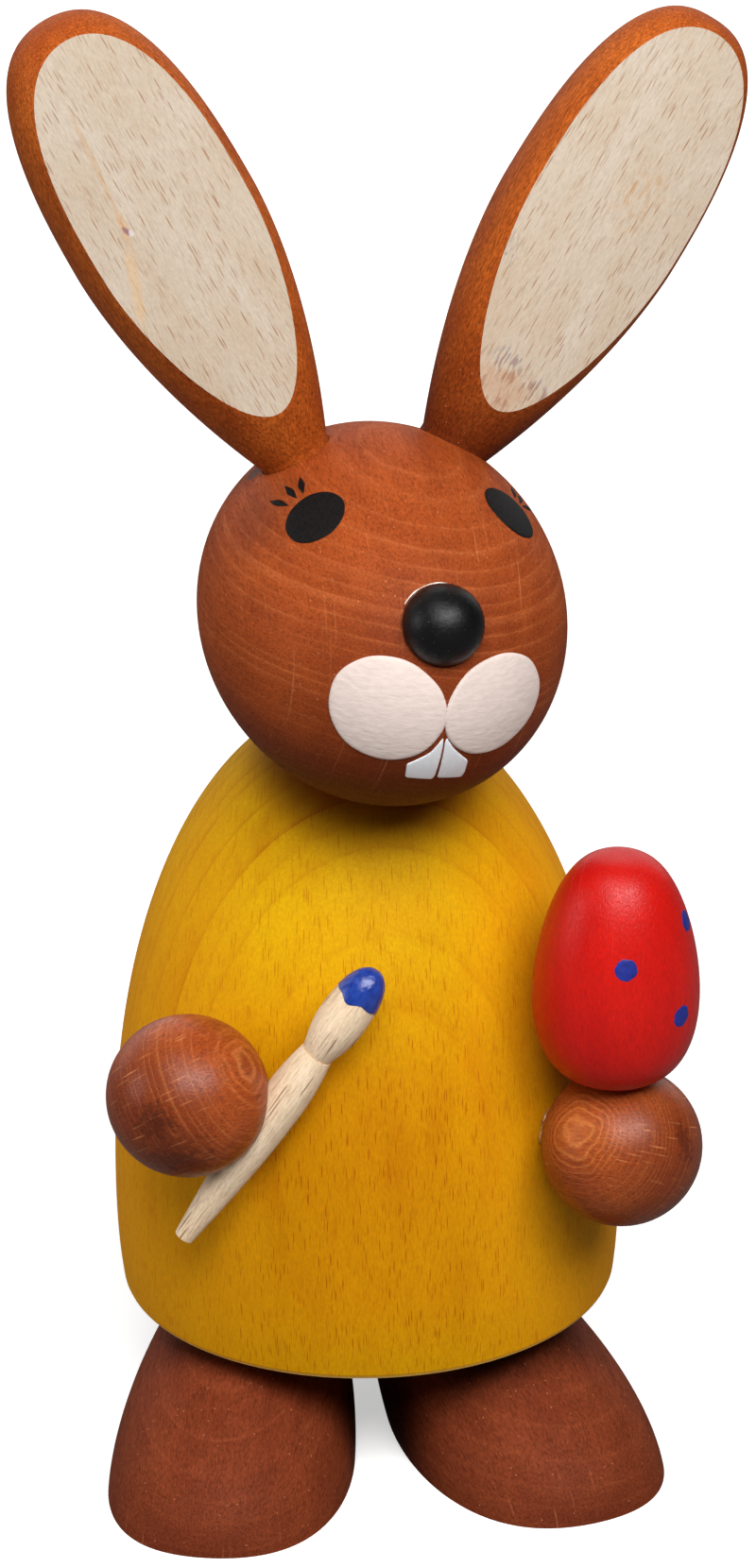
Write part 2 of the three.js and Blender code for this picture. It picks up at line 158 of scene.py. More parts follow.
rightEarPlace = earPlace(-1, rightEar)
leftEarPlace = earPlace(1, leftEar)
noseForward = (headForm["length"] / 2) ** 2 * cos(radians(noseForm["elevation"]))
noseUp = headForm["radius"] ** 2 * sin(radians(noseForm["elevation"]))
noseScale = hypot(noseForward / (headForm["length"] / 2), noseUp / headForm["radius"])
noseSpot = spot(0, -noseForward / noseScale, noseUp / noseScale)
nosePlace = headPlace @ noseSpot @ turn(90 - noseForm["elevation"], "X")
rightHandPlace = handPlace(-1, rightHand)
leftHandPlace = handPlace(1, leftHand)
rightHandAxis = rightHandPlace @ turn(-90, "X")
leftHandAxis = leftHandPlace @ turn(-90, "X")
brushPlace = (Matrix.Translation(rightHandPlace.translation) @ turn(brushForm["turn"], "Z")
              @ turn(brushForm["lean"], "Y") @ spot(brushForm["gripOffset"], 0, -brushForm["gripAt"]))
eggSeatHeight = leftHand["height"] + handForm["radius"] - eggForm["flatDepth"]
eggSeat = Vector((leftHandPlace.translation.x + eggForm["shiftSide"],
                  leftHandPlace.translation.y + eggForm["shiftBack"], eggSeatHeight))
eggPlace = (Matrix.Translation(eggSeat)
            @ turn(eggForm["leanForward"], "X") @ turn(eggForm["leanSide"], "Y")
            @ spot(0, 0, eggForm["length"] / 2 - eggForm["trim"]))
crownHeight, crownForward = footCrown()
footLift = bodyForm["underside"] + footForm["trim"] - crownHeight


def footStand(side, foot):
    return spot(side * foot["apart"], -foot["forward"], 0) @ turn(side * foot["toeOut"], "Z")


rightFootStand = footStand(-1, rightFoot)
leftFootStand = footStand(1, leftFoot)
toeDown = spot(0, 0, footLift) @ turn(90 + footForm["tilt"], "X")
rightFootPlace = rightFootStand @ toeDown
leftFootPlace = leftFootStand @ toeDown
print("places set out")


# ---- helpers for node trees and meshes

def plug(tree, node, feed):  # a socket is linked, anything else is set
    for key, value in feed.items():
        if isinstance(value, bpy.types.NodeSocket):
            tree.links.new(value, node.inputs[key])
        else:
            node.inputs[key].default_value = value


def put(tree, kind, feed=None, **settings):
    node = tree.nodes.new(kind)
    for name, value in settings.items():
        setattr(node, name, value)
    plug(tree, node, feed or {})
    return node


def calc(tree, operation, *values):
    return put(tree, "ShaderNodeMath", dict(enumerate(values)), operation=operation).outputs[0]


def vector(tree, operation, *values, output=0):
    return put(tree, "ShaderNodeVectorMath", dict(enumerate(values)), operation=operation).outputs[output]


def times(tree, first, second):
    return calc(tree, "MULTIPLY", first, second)


def scaled(tree, direction, amount):
    return put(tree, "ShaderNodeVectorMath", {0: direction, "Scale": amount}, operation="SCALE").outputs[0]


def split(tree, place):
    return put(tree, "ShaderNodeSeparateXYZ", {0: place}).outputs


def joined(tree, x, y, z):
    return put(tree, "ShaderNodeCombineXYZ", {0: x, 1: y, 2: z}).outputs[0]


def ramp(tree, value, low=0.0, high=1.0, toLow=0.0, toHigh=1.0, smooth=False):
    feed = {"Value": value, "From Min": low, "From Max": high, "To Min": toLow, "To Max": toHigh}
    bend = "SMOOTHSTEP" if smooth else "LINEAR"
    return put(tree, "ShaderNodeMapRange", feed, interpolation_type=bend).outputs[0]


def mottle(tree, place, scale, detail, seed=None, output=0):  # noise; a tuple scales it unlike each way
    if isinstance(scale, tuple):
        place = vector(tree, "MULTIPLY", place, scale)
        scale = 1.0
    feed = {"Vector": place, "Scale": scale, "Detail": detail}
    if seed is None:
        return put(tree, "ShaderNodeTexNoise", feed).outputs[output]
    return put(tree, "ShaderNodeTexNoise", {**feed, "W": seed}, noise_dimensions="4D").outputs[output]


def specks(tree, place, scale, low, high, depth):  # one round fleck in each cell
    cells = put(tree, "ShaderNodeTexVoronoi", {"Vector": place, "Scale": scale}).outputs
    return ramp(tree, cells["Distance"], low, high, depth, 0.0)


def ballOf(tree, around, rings):  # a ball to be formed, and where each of its points is
    feed = {"Segments": around, "Rings": rings, "Radius": 1.0}
    ball = put(tree, "GeometryNodeMeshUVSphere", feed).outputs[0]
    return ball, put(tree, "GeometryNodeInputPosition").outputs[0]


def shifted(tree, geometry, position):
    return put(tree, "GeometryNodeSetPosition", {"Geometry": geometry, "Position": position}).outputs[0]


def stored(tree, label, kind="FLOAT"):
    return put(tree, "GeometryNodeInputNamedAttribute", {"Name": label}, data_type=kind).outputs[0]


def newTree(name, sockets):
    tree = bpy.data.node_groups.new(name, "GeometryNodeTree")
    tree.interface.new_socket("Geometry", in_out="INPUT", socket_type="NodeSocketGeometry")
    for label, kind, value in sockets:
        socket = tree.interface.new_socket(label, in_out="INPUT", socket_type="NodeSocket" + kind)
        if value is not None:
            socket.default_value = value
    tree.interface.new_socket("Geometry", in_out="OUTPUT", socket_type="NodeSocketGeometry")
    given = tree.nodes.new("NodeGroupInput").outputs
    return tree, given


def closeTree(tree, geometry, material):  # every tree ends in real geometry with its finish on it
    real = put(tree, "GeometryNodeRealizeInstances", {0: geometry}).outputs[0]
    dressed = put(tree, "GeometryNodeSetMaterial", {"Geometry": real, "Material": material}).outputs[0]
    put(tree, "NodeGroupOutput", {"Geometry": dressed})
    return tree


def placed(name, data):
    thing = bpy.data.objects.new(name, data)
    scene.collection.objects.link(thing)
    return thing


def asMesh(shape, name):
    mesh = bpy.data.meshes.new(name)
    shape.to_mesh(mesh)
    shape.free()
    return mesh


def startingPoints(spots, fields, edges=()):  # points to grow a tree on, each with values of its own
    start = bpy.data.meshes.new("start")
    start.from_pydata(spots, edges, [])
    for label, values in fields.items():
        if isinstance(values[0], float):
            start.attributes.new(label, "FLOAT", "POINT").data.foreach_set("value", values)
        else:
            flat = [part for value in values for part in value]
            start.attributes.new(label, "FLOAT_VECTOR", "POINT").data.foreach_set("vector", flat)
    return start


def grown(tree, values, start=None):  # runs one tree and gives back a plain mesh
    holder = placed("holder", start or bpy.data.meshes.new("start"))
    modifier = holder.modifiers.new(tree.name, "NODES")
    modifier.node_group = tree
    for item in tree.interface.items_tree:
        if item.item_type == "SOCKET" and item.in_out == "INPUT" and item.name in values:
            modifier[item.identifier] = values[item.name]
    bpy.context.view_layer.update()
    evaluated = holder.evaluated_get(bpy.context.evaluated_depsgraph_get())
    mesh = bpy.data.meshes.new_from_object(evaluated)
    holder.modifiers.remove(modifier)
    bpy.data.objects.remove(holder)
    return mesh


def moved(mesh, place):
    mesh.transform(place)
    return mesh


def lathe(outline, rounds):  # outline of (radius, height) from the axis up to the axis again
    shape = bmesh.new()
    rings = []
    for radius, height in outline:
        if radius < 1e-6:
            rings.append([shape.verts.new((0, 0, height))])
            continue
        angles = [2 * pi * step / rounds for step in range(rounds)]
        rings.append([shape.verts.new((radius * cos(a), radius * sin(a), height)) for a in angles])
    for low, high in zip(rings, rings[1:]):
        for step in range(rounds):
            after = (step + 1) % rounds
            corners = [low[step % len(low)], low[after % len(low)]]
            corners += [high[after % len(high)], high[step % len(high)]]
            corners = [c for i, c in enumerate(corners) if c not in corners[:i]]
            if len(corners) > 2:
                shape.faces.new(corners)
    return asMesh(shape, "turned")


def cutOut(mesh, tools):  # takes each tool out of the mesh
    work = placed("work", mesh)
    cutters = [placed("cutter", tool) for tool in tools]
    for cutter in cutters:
        cut = work.modifiers.new("cut", "BOOLEAN")
        cut.operation = "DIFFERENCE"
        cut.solver = "EXACT"
        cut.object = cutter
    bpy.context.view_layer.update()
    result = bpy.data.meshes.new_from_object(work.evaluated_get(bpy.context.evaluated_depsgraph_get()))
    for thing in [work] + cutters:
        bpy.data.objects.remove(thing)
    return result


def sliced(mesh, at, facing, edge=0.0, flatMaterial=0, edgeMaterial=0, snap=0.3):
    # cuts off what lies beyond a plane, closes it with a flat and eases the new edge
    shape = bmesh.new()
    shape.from_mesh(mesh)
    everything = shape.verts[:] + shape.edges[:] + shape.faces[:]
    bmesh.ops.bisect_plane(shape, geom=everything, dist=1e-5, plane_co=at, plane_no=facing, clear_outer=True)
    for vert in [v for v in shape.verts if v.is_boundary]:  # slivers beside the cut spoil the eased edge
        for e in vert.link_edges:
            other = e.other_vert(vert)
            if not other.is_boundary and e.calc_length() < snap:
                other.co = vert.co
    for e in [e for e in shape.edges if e.is_boundary]:
        if e.calc_length() < snap:
            e.verts[1].co = e.verts[0].co
    bmesh.ops.remove_doubles(shape, verts=shape.verts, dist=1e-4)
    bmesh.ops.dissolve_degenerate(shape, edges=shape.edges, dist=1e-4)
    loop = [e for e in shape.edges if e.is_boundary]
    made = bmesh.ops.contextual_create(shape, geom=loop)["faces"]
    for face in made:
        face.material_index = flatMaterial
    bmesh.ops.recalc_face_normals(shape, faces=shape.faces)
    if edge:
        bmesh.ops.bevel(shape, geom=loop, offset=edge, offset_type="OFFSET", segments=2, profile=0.6,
                        affect="EDGES", clamp_overlap=True, material=edgeMaterial)
    return asMesh(shape, "sliced")


def show(name, mesh, finishes, nodes=(), crease=40):  # hands a finished mesh over to the figure
    mesh.transform(toRow)
    mesh.name = name
    while mesh.materials:
        mesh.materials.pop()
    for finish in finishes:
        mesh.materials.append(finish)
    mesh.shade_smooth()
    mesh.set_sharp_from_angle(angle=radians(crease))
    piece = placed(name, mesh)
    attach(piece, "root")
    if nodes:
        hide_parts(*nodes)
    return piece


# ---- two turning rules as trees: an egg form, which also turns balls and the head, and the bell

def turnedTree(name, sockets, rule):  # a ball whose rings take radius and height from the rule
    tree, given = newTree(name, sockets + [("Finish", "Material", None)])
    ball, here = ballOf(tree, given["Around"], given["Rings"])
    x, y, along = split(tree, here)
    flat = joined(tree, x, y, 0.0)
    radius, height = rule(tree, given, vector(tree, "LENGTH", flat, output="Value"), along)
    ring = scaled(tree, vector(tree, "NORMALIZE", flat), radius)
    formed = shifted(tree, ball, vector(tree, "ADD", ring, joined(tree, 0.0, 0.0, height)))
    return closeTree(tree, formed, given["Finish"])


def eggRule(tree, given, across, along):
    fullness = given["Fullness"]
    taper = given["Taper"]
    spread = times(tree, times(tree, taper, taper), calc(tree, "ADD", fullness, 1.0))
    root = calc(tree, "SQRT", calc(tree, "MULTIPLY_ADD", spread, 4.0, times(tree, fullness, fullness)))
    widest = calc(tree, "DIVIDE", times(tree, taper, 2.0), calc(tree, "ADD", fullness, root))
    half = times(tree, fullness, 0.5)

    def roundness(place):
        left = calc(tree, "MAXIMUM", calc(tree, "SUBTRACT", 1.0, times(tree, place, place)), 0.0)
        return times(tree, calc(tree, "POWER", left, half), calc(tree, "MULTIPLY_ADD", taper, place, 1.0))

    share = calc(tree, "DIVIDE", roundness(along), roundness(widest))
    radius = times(tree, share, times(tree, given["Width"], 0.5))
    return radius, times(tree, along, times(tree, given["Length"], 0.5))


def bellRule(tree, given, across, along):
    above = calc(tree, "GREATER_THAN", along, 0.0)

    def either(top, bottom):
        return put(tree, "GeometryNodeSwitch", {"Switch": above, "False": bottom, "True": top},
                   input_type="FLOAT").outputs[0]

    power = calc(tree, "DIVIDE", 2.0, either(given["Crown Fullness"], given["Skirt Fullness"]))
    reach = either(given["Crown Rise"], times(tree, given["Skirt Drop"], -1.0))
    rise = calc(tree, "POWER", calc(tree, "ABSOLUTE", along), power)
    return (times(tree, given["Radius"], calc(tree, "POWER", across, power)),
            calc(tree, "MULTIPLY_ADD", rise, reach, given["Girth Height"]))


turnedForm = turnedTree("turnedForm", [
    ("Length", "Float", 20.0), ("Width", "Float", 20.0), ("Fullness", "Float", 1.0), ("Taper", "Float", 0.0),
    ("Around", "Int", 96), ("Rings", "Int", 64)], eggRule)
turnedBell = turnedTree("turnedBell", [
    ("Radius", "Float", 27.0), ("Girth Height", "Float", 27.0), ("Crown Rise", "Float", 55.0),
    ("Crown Fullness", "Float", 2.0), ("Skirt Drop", "Float", 34.0), ("Skirt Fullness", "Float", 2.5),
    ("Around", "Int", 160), ("Rings", "Int", 120)], bellRule)


def turnedEgg(length, width, fullness, taper, around=96, rings=64):
    return grown(turnedForm, {"Length": float(length), "Width": float(width), "Fullness": float(fullness),
                              "Taper": float(taper), "Around": around, "Rings": rings})


def turnedBall(length, width, around=96, rings=64):
    return turnedEgg(length, width, 1, 0, around, rings)


def dowelHole(dowel, bottom, top, place):
    radius = dowel["radius"] + dowelGap
    return moved(lathe([(0, bottom - holeEndGap), (radius, bottom - holeEndGap),
                        (radius, top + holeEndGap), (0, top + holeEndGap)], 32), place)


# ---- beech: one grain tree for every wooden piece

# how the sway, the year's lines and the spindles of the rays are drawn, in mm where they are lengths
grainRule = {"slowSway": 3.0, "quickSway": 0.35, "yearDrift": 1.2, "lateEdge": 9.0, "earlyEdge": 18.0,
             "lineDepth": 0.75, "faintestYear": 0.15, "wideDepth": 7.0, "wideShare": 1.6, "narrowDepth": 5.0,
             "narrower": 0.6, "narrowStrength": 0.5, "rayWidth": 0.34, "rayDepth": 2.0}


def grainTree():
    rule = grainRule
    tree = bpy.data.node_groups.new("beechGrain", "ShaderNodeTree")
    face = tree.interface
    face.new_socket("Log", in_out="INPUT", socket_type="NodeSocketVector")  # mm, fibres along Z
    for label, value in (("Pith X", 0.0), ("Pith Y", 40.0), ("Lean X", 0.0), ("Lean Y", 0.0), ("Reach", 40.0),
                         ("Ring Gap", 2.0), ("Ring Wander", 0.4), ("Ring Band", 0.25),
                         ("Fleck Width", 0.3), ("Fleck Length", 3.6), ("Fleck Share", 0.8),
                         ("Ray Share", 0.3), ("Ray Length", 11.0)):
        face.new_socket(label, in_out="INPUT", socket_type="NodeSocketFloat").default_value = value
    for label in ("Ring", "Fleck", "Ray", "Pore", "Blotch"):
        face.new_socket(label, in_out="OUTPUT", socket_type="NodeSocketFloat")
    given = tree.nodes.new("NodeGroupInput").outputs
    log = given["Log"]
    x, y, z = split(tree, log)

    def fromPith(across, up):
        dx = calc(tree, "SUBTRACT", across, given["Pith X"])
        dy = calc(tree, "SUBTRACT", up, given["Pith Y"])
        away = calc(tree, "SQRT", calc(tree, "MULTIPLY_ADD", dx, dx, times(tree, dy, dy)))
        return away, calc(tree, "ARCTAN2", dx, times(tree, dy, -1.0))

    # the rings lean a little against the fibres, which makes arches on the turned surface
    leanX = times(tree, z, given["Lean X"])
    leanY = times(tree, z, given["Lean Y"])
    radius = fromPith(calc(tree, "SUBTRACT", x, leanX), calc(tree, "SUBTRACT", y, leanY))[0]
    slow = mottle(tree, log, (0.05, 0.05, 0.02), 1.0)
    quick = mottle(tree, log, (0.5, 0.5, 0.12), 2.0)
    sway = calc(tree, "MULTIPLY_ADD", quick, rule["quickSway"], times(tree, slow, rule["slowSway"]))
    radius = calc(tree, "MULTIPLY_ADD", sway, given["Ring Wander"], radius)

    # years of unlike width, each closing in a thin late line
    years = calc(tree, "DIVIDE", radius, given["Ring Gap"])
    uneven = put(tree, "ShaderNodeTexNoise", {"W": years, "Scale": 0.7, "Detail": 1.0},
                 noise_dimensions="1D").outputs[0]
    years = calc(tree, "MULTIPLY_ADD", uneven, rule["yearDrift"], years)
    year = calc(tree, "FRACT", years)
    late = calc(tree, "POWER", year, rule["lateEdge"])
    early = calc(tree, "POWER", calc(tree, "SUBTRACT", 1.0, year), rule["earlyEdge"])
    line = calc(tree, "MAXIMUM", late, early)
    broad = times(tree, calc(tree, "POWER", year, 2.0), given["Ring Band"])
    dim = put(tree, "ShaderNodeTexWhiteNoise", {"W": calc(tree, "FLOOR", years)},
              noise_dimensions="1D").outputs[0]
    strength = ramp(tree, dim, 0.0, 1.0, rule["faintestYear"])
    mask = mottle(tree, log, (0.35, 0.35, 0.2), 3.0)
    patchy = ramp(tree, mask, 0.36, 0.6, 0.45)
    drawn = calc(tree, "MULTIPLY_ADD", line, rule["lineDepth"], broad)
    ring = times(tree, drawn, times(tree, strength, patchy))

    # rays: thin spindles on a slab cut, long pale lines across end grain
    distance, angle = fromPith(x, y)
    arc = times(tree, angle, given["Reach"])

    def spindles(width, length, depth, low, high, share):
        cell = joined(tree, calc(tree, "DIVIDE", arc, width), calc(tree, "DIVIDE", z, length),
                      calc(tree, "DIVIDE", distance, depth))
        spots = put(tree, "ShaderNodeTexVoronoi", {"Vector": cell, "Scale": 1.0, "Randomness": 1.0}).outputs
        body = ramp(tree, spots["Distance"], low, high, 1.0, 0.0, smooth=True)
        chance = put(tree, "ShaderNodeSeparateColor", {0: spots["Color"]}).outputs[0]
        kept = ramp(tree, chance, 0.0, share, 1.0, 0.0)
        return times(tree, body, kept)

    width, length = given["Fleck Width"], given["Fleck Length"]
    share = times(tree, given["Fleck Share"], rule["wideShare"])
    wide = spindles(width, length, rule["wideDepth"], 0.16, 0.32, share)
    narrow = spindles(times(tree, width, rule["narrower"]), times(tree, length, rule["narrower"]),
                      rule["narrowDepth"], 0.14, 0.36, 1.0)
    fleck = calc(tree, "MAXIMUM", wide, times(tree, narrow, rule["narrowStrength"]))
    ray = spindles(rule["rayWidth"], given["Ray Length"], times(tree, given["Ray Length"], rule["rayDepth"]),
                   0.08, 0.3, given["Ray Share"])
    pore = ramp(tree, mottle(tree, log, (5.5, 5.5, 0.6), 3.0), 0.46, 0.74)
    blotch = ramp(tree, mottle(tree, log, (0.3, 0.3, 0.1), 4.0), 0.3, 0.7)
    put(tree, "NodeGroupOutput", {"Ring": ring, "Fleck": fleck, "Ray": ray, "Pore": pore, "Blotch": blotch})
    return tree


beechGrain = grainTree()


def emptied(holder):  # a material or world with nodes, but none in it yet
    holder.use_nodes = True
    holder.node_tree.nodes.clear()
    return holder, holder.node_tree


def newFinish(name):
    material, tree = emptied(bpy.data.materials.new(name))
    shader = tree.nodes.new("ShaderNodeBsdfPrincipled")
    put(tree, "ShaderNodeOutputMaterial", {"Surface": shader.outputs[0]})
    return material, tree, shader


def blend(tree, factor, below, above, kind="MIX"):  # a colour is a socket, or 0 to 255
    below, above = (paintColour(*side) if isinstance(side, tuple) else side for side in (below, above))
    node = put(tree, "ShaderNodeMix", {0: factor, 6: below, 7: above}, data_type="RGBA", blend_type=kind)
    return node.outputs[2]


def bumped(tree, height, strength, distance):
    feed = {"Height": height, "Strength": strength, "Distance": distance * mm}
    return put(tree, "ShaderNodeBump", feed).outputs[0]


def localTo(tree, place, middle, spin, reach):  # the same point as seen from a turned and stretched frame
    feed = {"Vector": place, "Location": middle, "Rotation": spin, "Scale": reach}
    return put(tree, "ShaderNodeMapping", feed, vector_type="TEXTURE").outputs[0]


def millimetres(tree, place):  # the point in a piece's own millimetres
    spotOn = toRow @ place
    here = put(tree, "ShaderNodeTexCoord").outputs["Object"]
    return localTo(tree, here, spotOn.translation, spotOn.to_euler(), (mm, mm, mm))


def smudge(tree, log, middle, reach, spin=0, ragged=0.3, soft=0.5):  # an uneven oval mark in the wood
    local = localTo(tree, log, middle, (0, radians(spin), 0), reach)
    drift = vector(tree, "SUBTRACT", mottle(tree, log, (1.6, 1.6, 0.6), 3.0, output="Color"), (0.5, 0.5, 0.5))
    uneven = scaled(tree, drift, 4 * ragged)
    away = vector(tree, "LENGTH", vector(tree, "ADD", local, uneven), output="Value")
    return ramp(tree, away, 1 - soft, 1.0, 1.0, 0.0, smooth=True)


def marked(colourOn, depth, middle, reach, **more):  # a mark of one colour, as an extra for a look
    def extra(tree, log, colour):
        spread = smudge(tree, log, middle, reach, **more)
        return blend(tree, times(tree, spread, depth), colour, colourOn)
    return extra


def streaked(colourOn, depth, middle, reach, **more):  # the same, broken up into streaks along the fibres
    def extra(tree, log, colour):
        spread = smudge(tree, log, middle, reach, **more)
        noise = mottle(tree, log, (3.2, 3.2, 0.7), 2.0)
        streak = ramp(tree, noise, 0.5, 0.6)
        return blend(tree, times(tree, times(tree, spread, streak), depth), colour, colourOn)
    return extra


def whorled(colourOn, depth, middle, gap, reach):  # rings round the spot where a ball was cut off its years
    def extra(tree, log, colour):
        away = vector(tree, "DISTANCE", log, middle, output="Value")
        wander = mottle(tree, log, 0.28, 1.5)
        drop = calc(tree, "DIVIDE", times(tree, away, away), 2 * handForm["radius"] * gap)
        year = calc(tree, "MULTIPLY_ADD", wander, 2.4, drop)
        line = calc(tree, "POWER", calc(tree, "ABSOLUTE", calc(tree, "SINE", times(tree, year, pi))), 7.0)
        near = ramp(tree, away, 0.35 * reach, reach, depth, 0.0)
        return blend(tree, times(tree, line, near), colour, colourOn)
    return extra


def dusty(tree, log, colour):  # pale specks that settled in the stain
    return blend(tree, specks(tree, log, 0.9, 0.05, 0.09, 0.55), colour, (206, 140, 100))


def beech(name, place, look):
    material, tree, shader = newFinish(name)
    log = millimetres(tree, place)
    grain = put(tree, "ShaderNodeGroup", {"Log": log, **look.get("grain", {})}, node_tree=beechGrain)
    ring, fleck, ray, pore, blotch = grain.outputs

    fibres = place.to_3x3().col[2].normalized()
    facing = put(tree, "ShaderNodeNewGeometry").outputs["Normal"]
    along = calc(tree, "ABSOLUTE", vector(tree, "DOT_PRODUCT", facing, fibres, output="Value"))
    endGrain = ramp(tree, along, 0.35, smooth=True)
    crossed = ramp(tree, along, 0.15, 0.55)

    colour = blend(tree, blotch, look["pale"], look["deep"])
    colour = blend(tree, times(tree, endGrain, look.get("endDepth", 0.5)), colour, look["end"])
    colour = blend(tree, times(tree, pore, look["poreDepth"]), colour, look["pore"])
    if "ringFade" in look:  # the years run out towards one end
        height = split(tree, log)[2]
        clear = ramp(tree, height, look["ringFade"][0], look["ringFade"][1])
        ring = times(tree, ring, clear)
    colour = blend(tree, times(tree, ring, look["ringDepth"]), colour, look["ring"])
    slab = calc(tree, "MULTIPLY_ADD", crossed, -look.get("fleckLoss", 0.75), 1.0)
    fleckThere = times(tree, fleck, slab)
    colour = blend(tree, times(tree, fleckThere, look["fleckDepth"]), colour, look["fleck"])
    rayThere = times(tree, ray, crossed)
    colour = blend(tree, times(tree, rayThere, look.get("rayDepth", 0.6)), colour, look["ray"])
    for extra in look.get("extras", []):
        colour = extra(tree, log, colour)
    speckle = put(tree, "ShaderNodeTexNoise", {"Vector": vector(tree, "MULTIPLY", log, (4.8, 4.8, 1.8)),
                                               "Scale": 1.0, "Detail": 4.0, "Roughness": 0.7}).outputs[0]
    grit = look.get("grit", 0.2)
    value = ramp(tree, speckle, 0.34, 0.66, 1 - grit, 1 + grit)
    colour = put(tree, "ShaderNodeHueSaturation", {"Value": value, "Color": colour}).outputs[0]
    mask = calc(tree, "MAXIMUM", fleckThere, pore)
    hollow = calc(tree, "MULTIPLY_ADD", fleckThere, 0.6, pore)
    dull = ramp(tree, mask, 0.0, 1.0, look["roughness"], look["roughness"] + 0.18)
    plug(tree, shader, {
        "Base Color": colour, "Roughness": dull,
        "Normal": bumped(tree, times(tree, hollow, -1.0), look.get("relief", 0.5), 0.02),
        "Specular IOR Level": look.get("gloss", 0.16)})
    return material


# ---- camera, light and floor

def setCamera():
    view = {"azimuth": -9.38, "elevation": 23.80, "roll": -0.98, "distance": 750, "aside": 1.90, "aim": 72.47,
            "lens": 162.65}
    a = radians(view["azimuth"])
    e = radians(view["elevation"])
    roll = radians(view["roll"])
    back = Vector((sin(a) * cos(e), -cos(a) * cos(e), sin(e)))
    right = Vector((cos(a), sin(a), 0))
    up = back.cross(right)
    rolledRight = cos(roll) * right + sin(roll) * up
    rolledUp = cos(roll) * up - sin(roll) * right
    at = Vector((0, 0, view["aim"])) + view["aside"] * right + view["distance"] * back
    data = bpy.data.cameras.new("camera")
    data.lens = view["lens"]
    data.sensor_width = 36
    data.clip_start = 0.05
    camera = placed("camera", data)
    columns = Matrix((rolledRight, rolledUp, back)).transposed().to_4x4()
    camera.matrix_world = Matrix.Translation(toRow @ at) @ columns
    scene.camera = camera
    return rolledRight, back


cameraRight, cameraBack = setCamera()
# metres and watts, only lampAim is a height on the figure in millimetres
studio = {"lampDistance": 0.9, "lampSize": 0.4, "lampAim": 80, "room": 0.05, "backdrop": 1.0,
          "floorGlow": 0.5, "floorHalf": 0.8, "whiteFrom": 0.2, "whiteAt": 0.6, "wallBehind": 2.6,
          "wallHalf": 3.2, "wallHeight": 3.6}
lamps = {"keyBox": {"azimuth": 0, "elevation": 45, "power": 5.0},
         "sideBox": {"azimuth": 35, "elevation": 45, "power": 5.2},
         "overBox": {"azimuth": -35, "elevation": 65, "power": 1.7},
         "flankBox": {"azimuth": -80, "elevation": 15, "power": 1.6}}


def fromCamera(azimuth, elevation):  # a direction, turned from the camera's side of the table
    level = Vector((cameraBack.x, cameraBack.y, 0)).normalized()
    ahead = cos(radians(azimuth)) * level + sin(radians(azimuth)) * cameraRight
    return cos(radians(elevation)) * ahead + sin(radians(elevation)) * Vector((0, 0, 1))


def softBox(name, direction, power):
    data = bpy.data.lights.new(name, "AREA")
    data.shape = "RECTANGLE"
    data.size = data.size_y = studio["lampSize"]
    data.energy = power
    lamp = placed(name, data)
    middle = toRow @ Vector((0, 0, studio["lampAim"]))
    lamp.location = middle + studio["lampDistance"] * direction.normalized()
    lamp.rotation_euler = direction.to_track_quat("Z", "Y").to_euler()


for name, lamp in lamps.items():
    softBox(name, fromCamera(lamp["azimuth"], lamp["elevation"]), lamp["power"])


def seenIn(tree):  # 1 where the camera looks straight, or through something clear
    path = put(tree, "ShaderNodeLightPath").outputs
    return calc(tree, "MAXIMUM", path["Is Camera Ray"], path["Is Transmission Ray"])


def setRoom():
    scene.world, tree = emptied(bpy.data.worlds.new("room"))
    room = put(tree, "ShaderNodeBackground", {"Color": (1, 1, 1, 1), "Strength": studio["room"]}).outputs[0]
    white = put(tree, "ShaderNodeBackground", {"Color": (1, 1, 1, 1), "Strength": 1.0}).outputs[0]
    mixed = put(tree, "ShaderNodeMixShader", {0: seenIn(tree), 1: room, 2: white}).outputs[0]
    put(tree, "ShaderNodeOutputWorld", {"Surface": mixed})


def sheetOf(name, corners, finish):  # a flat that is no part of the figure
    mesh = bpy.data.meshes.new(name)
    mesh.from_pydata(corners, [], [(0, 1, 2, 3)])
    mesh.materials.append(finish)
    return placed(name, mesh)


def setFloor():
    material, tree = emptied(bpy.data.materials.new("paleFloor"))
    felt = put(tree, "ShaderNodeBsdfDiffuse", {"Color": (0.18, 0.18, 0.18, 1)}).outputs[0]
    pale = put(tree, "ShaderNodeBsdfDiffuse", {"Color": (0.8, 0.8, 0.79, 1)}).outputs[0]
    # far from the figure the floor runs out into white
    away = vector(tree, "LENGTH", put(tree, "ShaderNodeTexCoord").outputs["Object"], output="Value")
    strength = ramp(tree, away, studio["whiteFrom"], studio["whiteAt"], studio["floorGlow"], 1.0)
    glow = put(tree, "ShaderNodeEmission", {"Color": (1, 1, 1, 1), "Strength": strength}).outputs[0]
    lit = put(tree, "ShaderNodeAddShader", {0: pale, 1: glow}).outputs[0]
    surface = put(tree, "ShaderNodeMixShader", {0: seenIn(tree), 1: felt, 2: lit}).outputs[0]
    put(tree, "ShaderNodeOutputMaterial", {"Surface": surface})
    half = studio["floorHalf"]
    corners = [(-half, -half, 0), (half, -half, 0), (half, half, 0), (-half, half, 0)]
    floor = sheetOf("floor", corners, material)


def setBackdrop():
    material, tree = emptied(bpy.data.materials.new("whiteBackdrop"))
    strength = ramp(tree, seenIn(tree), 0.0, 1.0, studio["backdrop"], 1.0)
    glow = put(tree, "ShaderNodeEmission", {"Color": (1, 1, 1, 1), "Strength": strength}).outputs[0]
    put(tree, "ShaderNodeOutputMaterial", {"Surface": glow})
    half, behind, height = studio["wallHalf"], studio["wallBehind"], studio["wallHeight"]
    corners = [(-half, behind, height), (half, behind, height), (half, behind, 0), (-half, behind, 0)]
    backdrop = sheetOf("backdrop", corners, material)


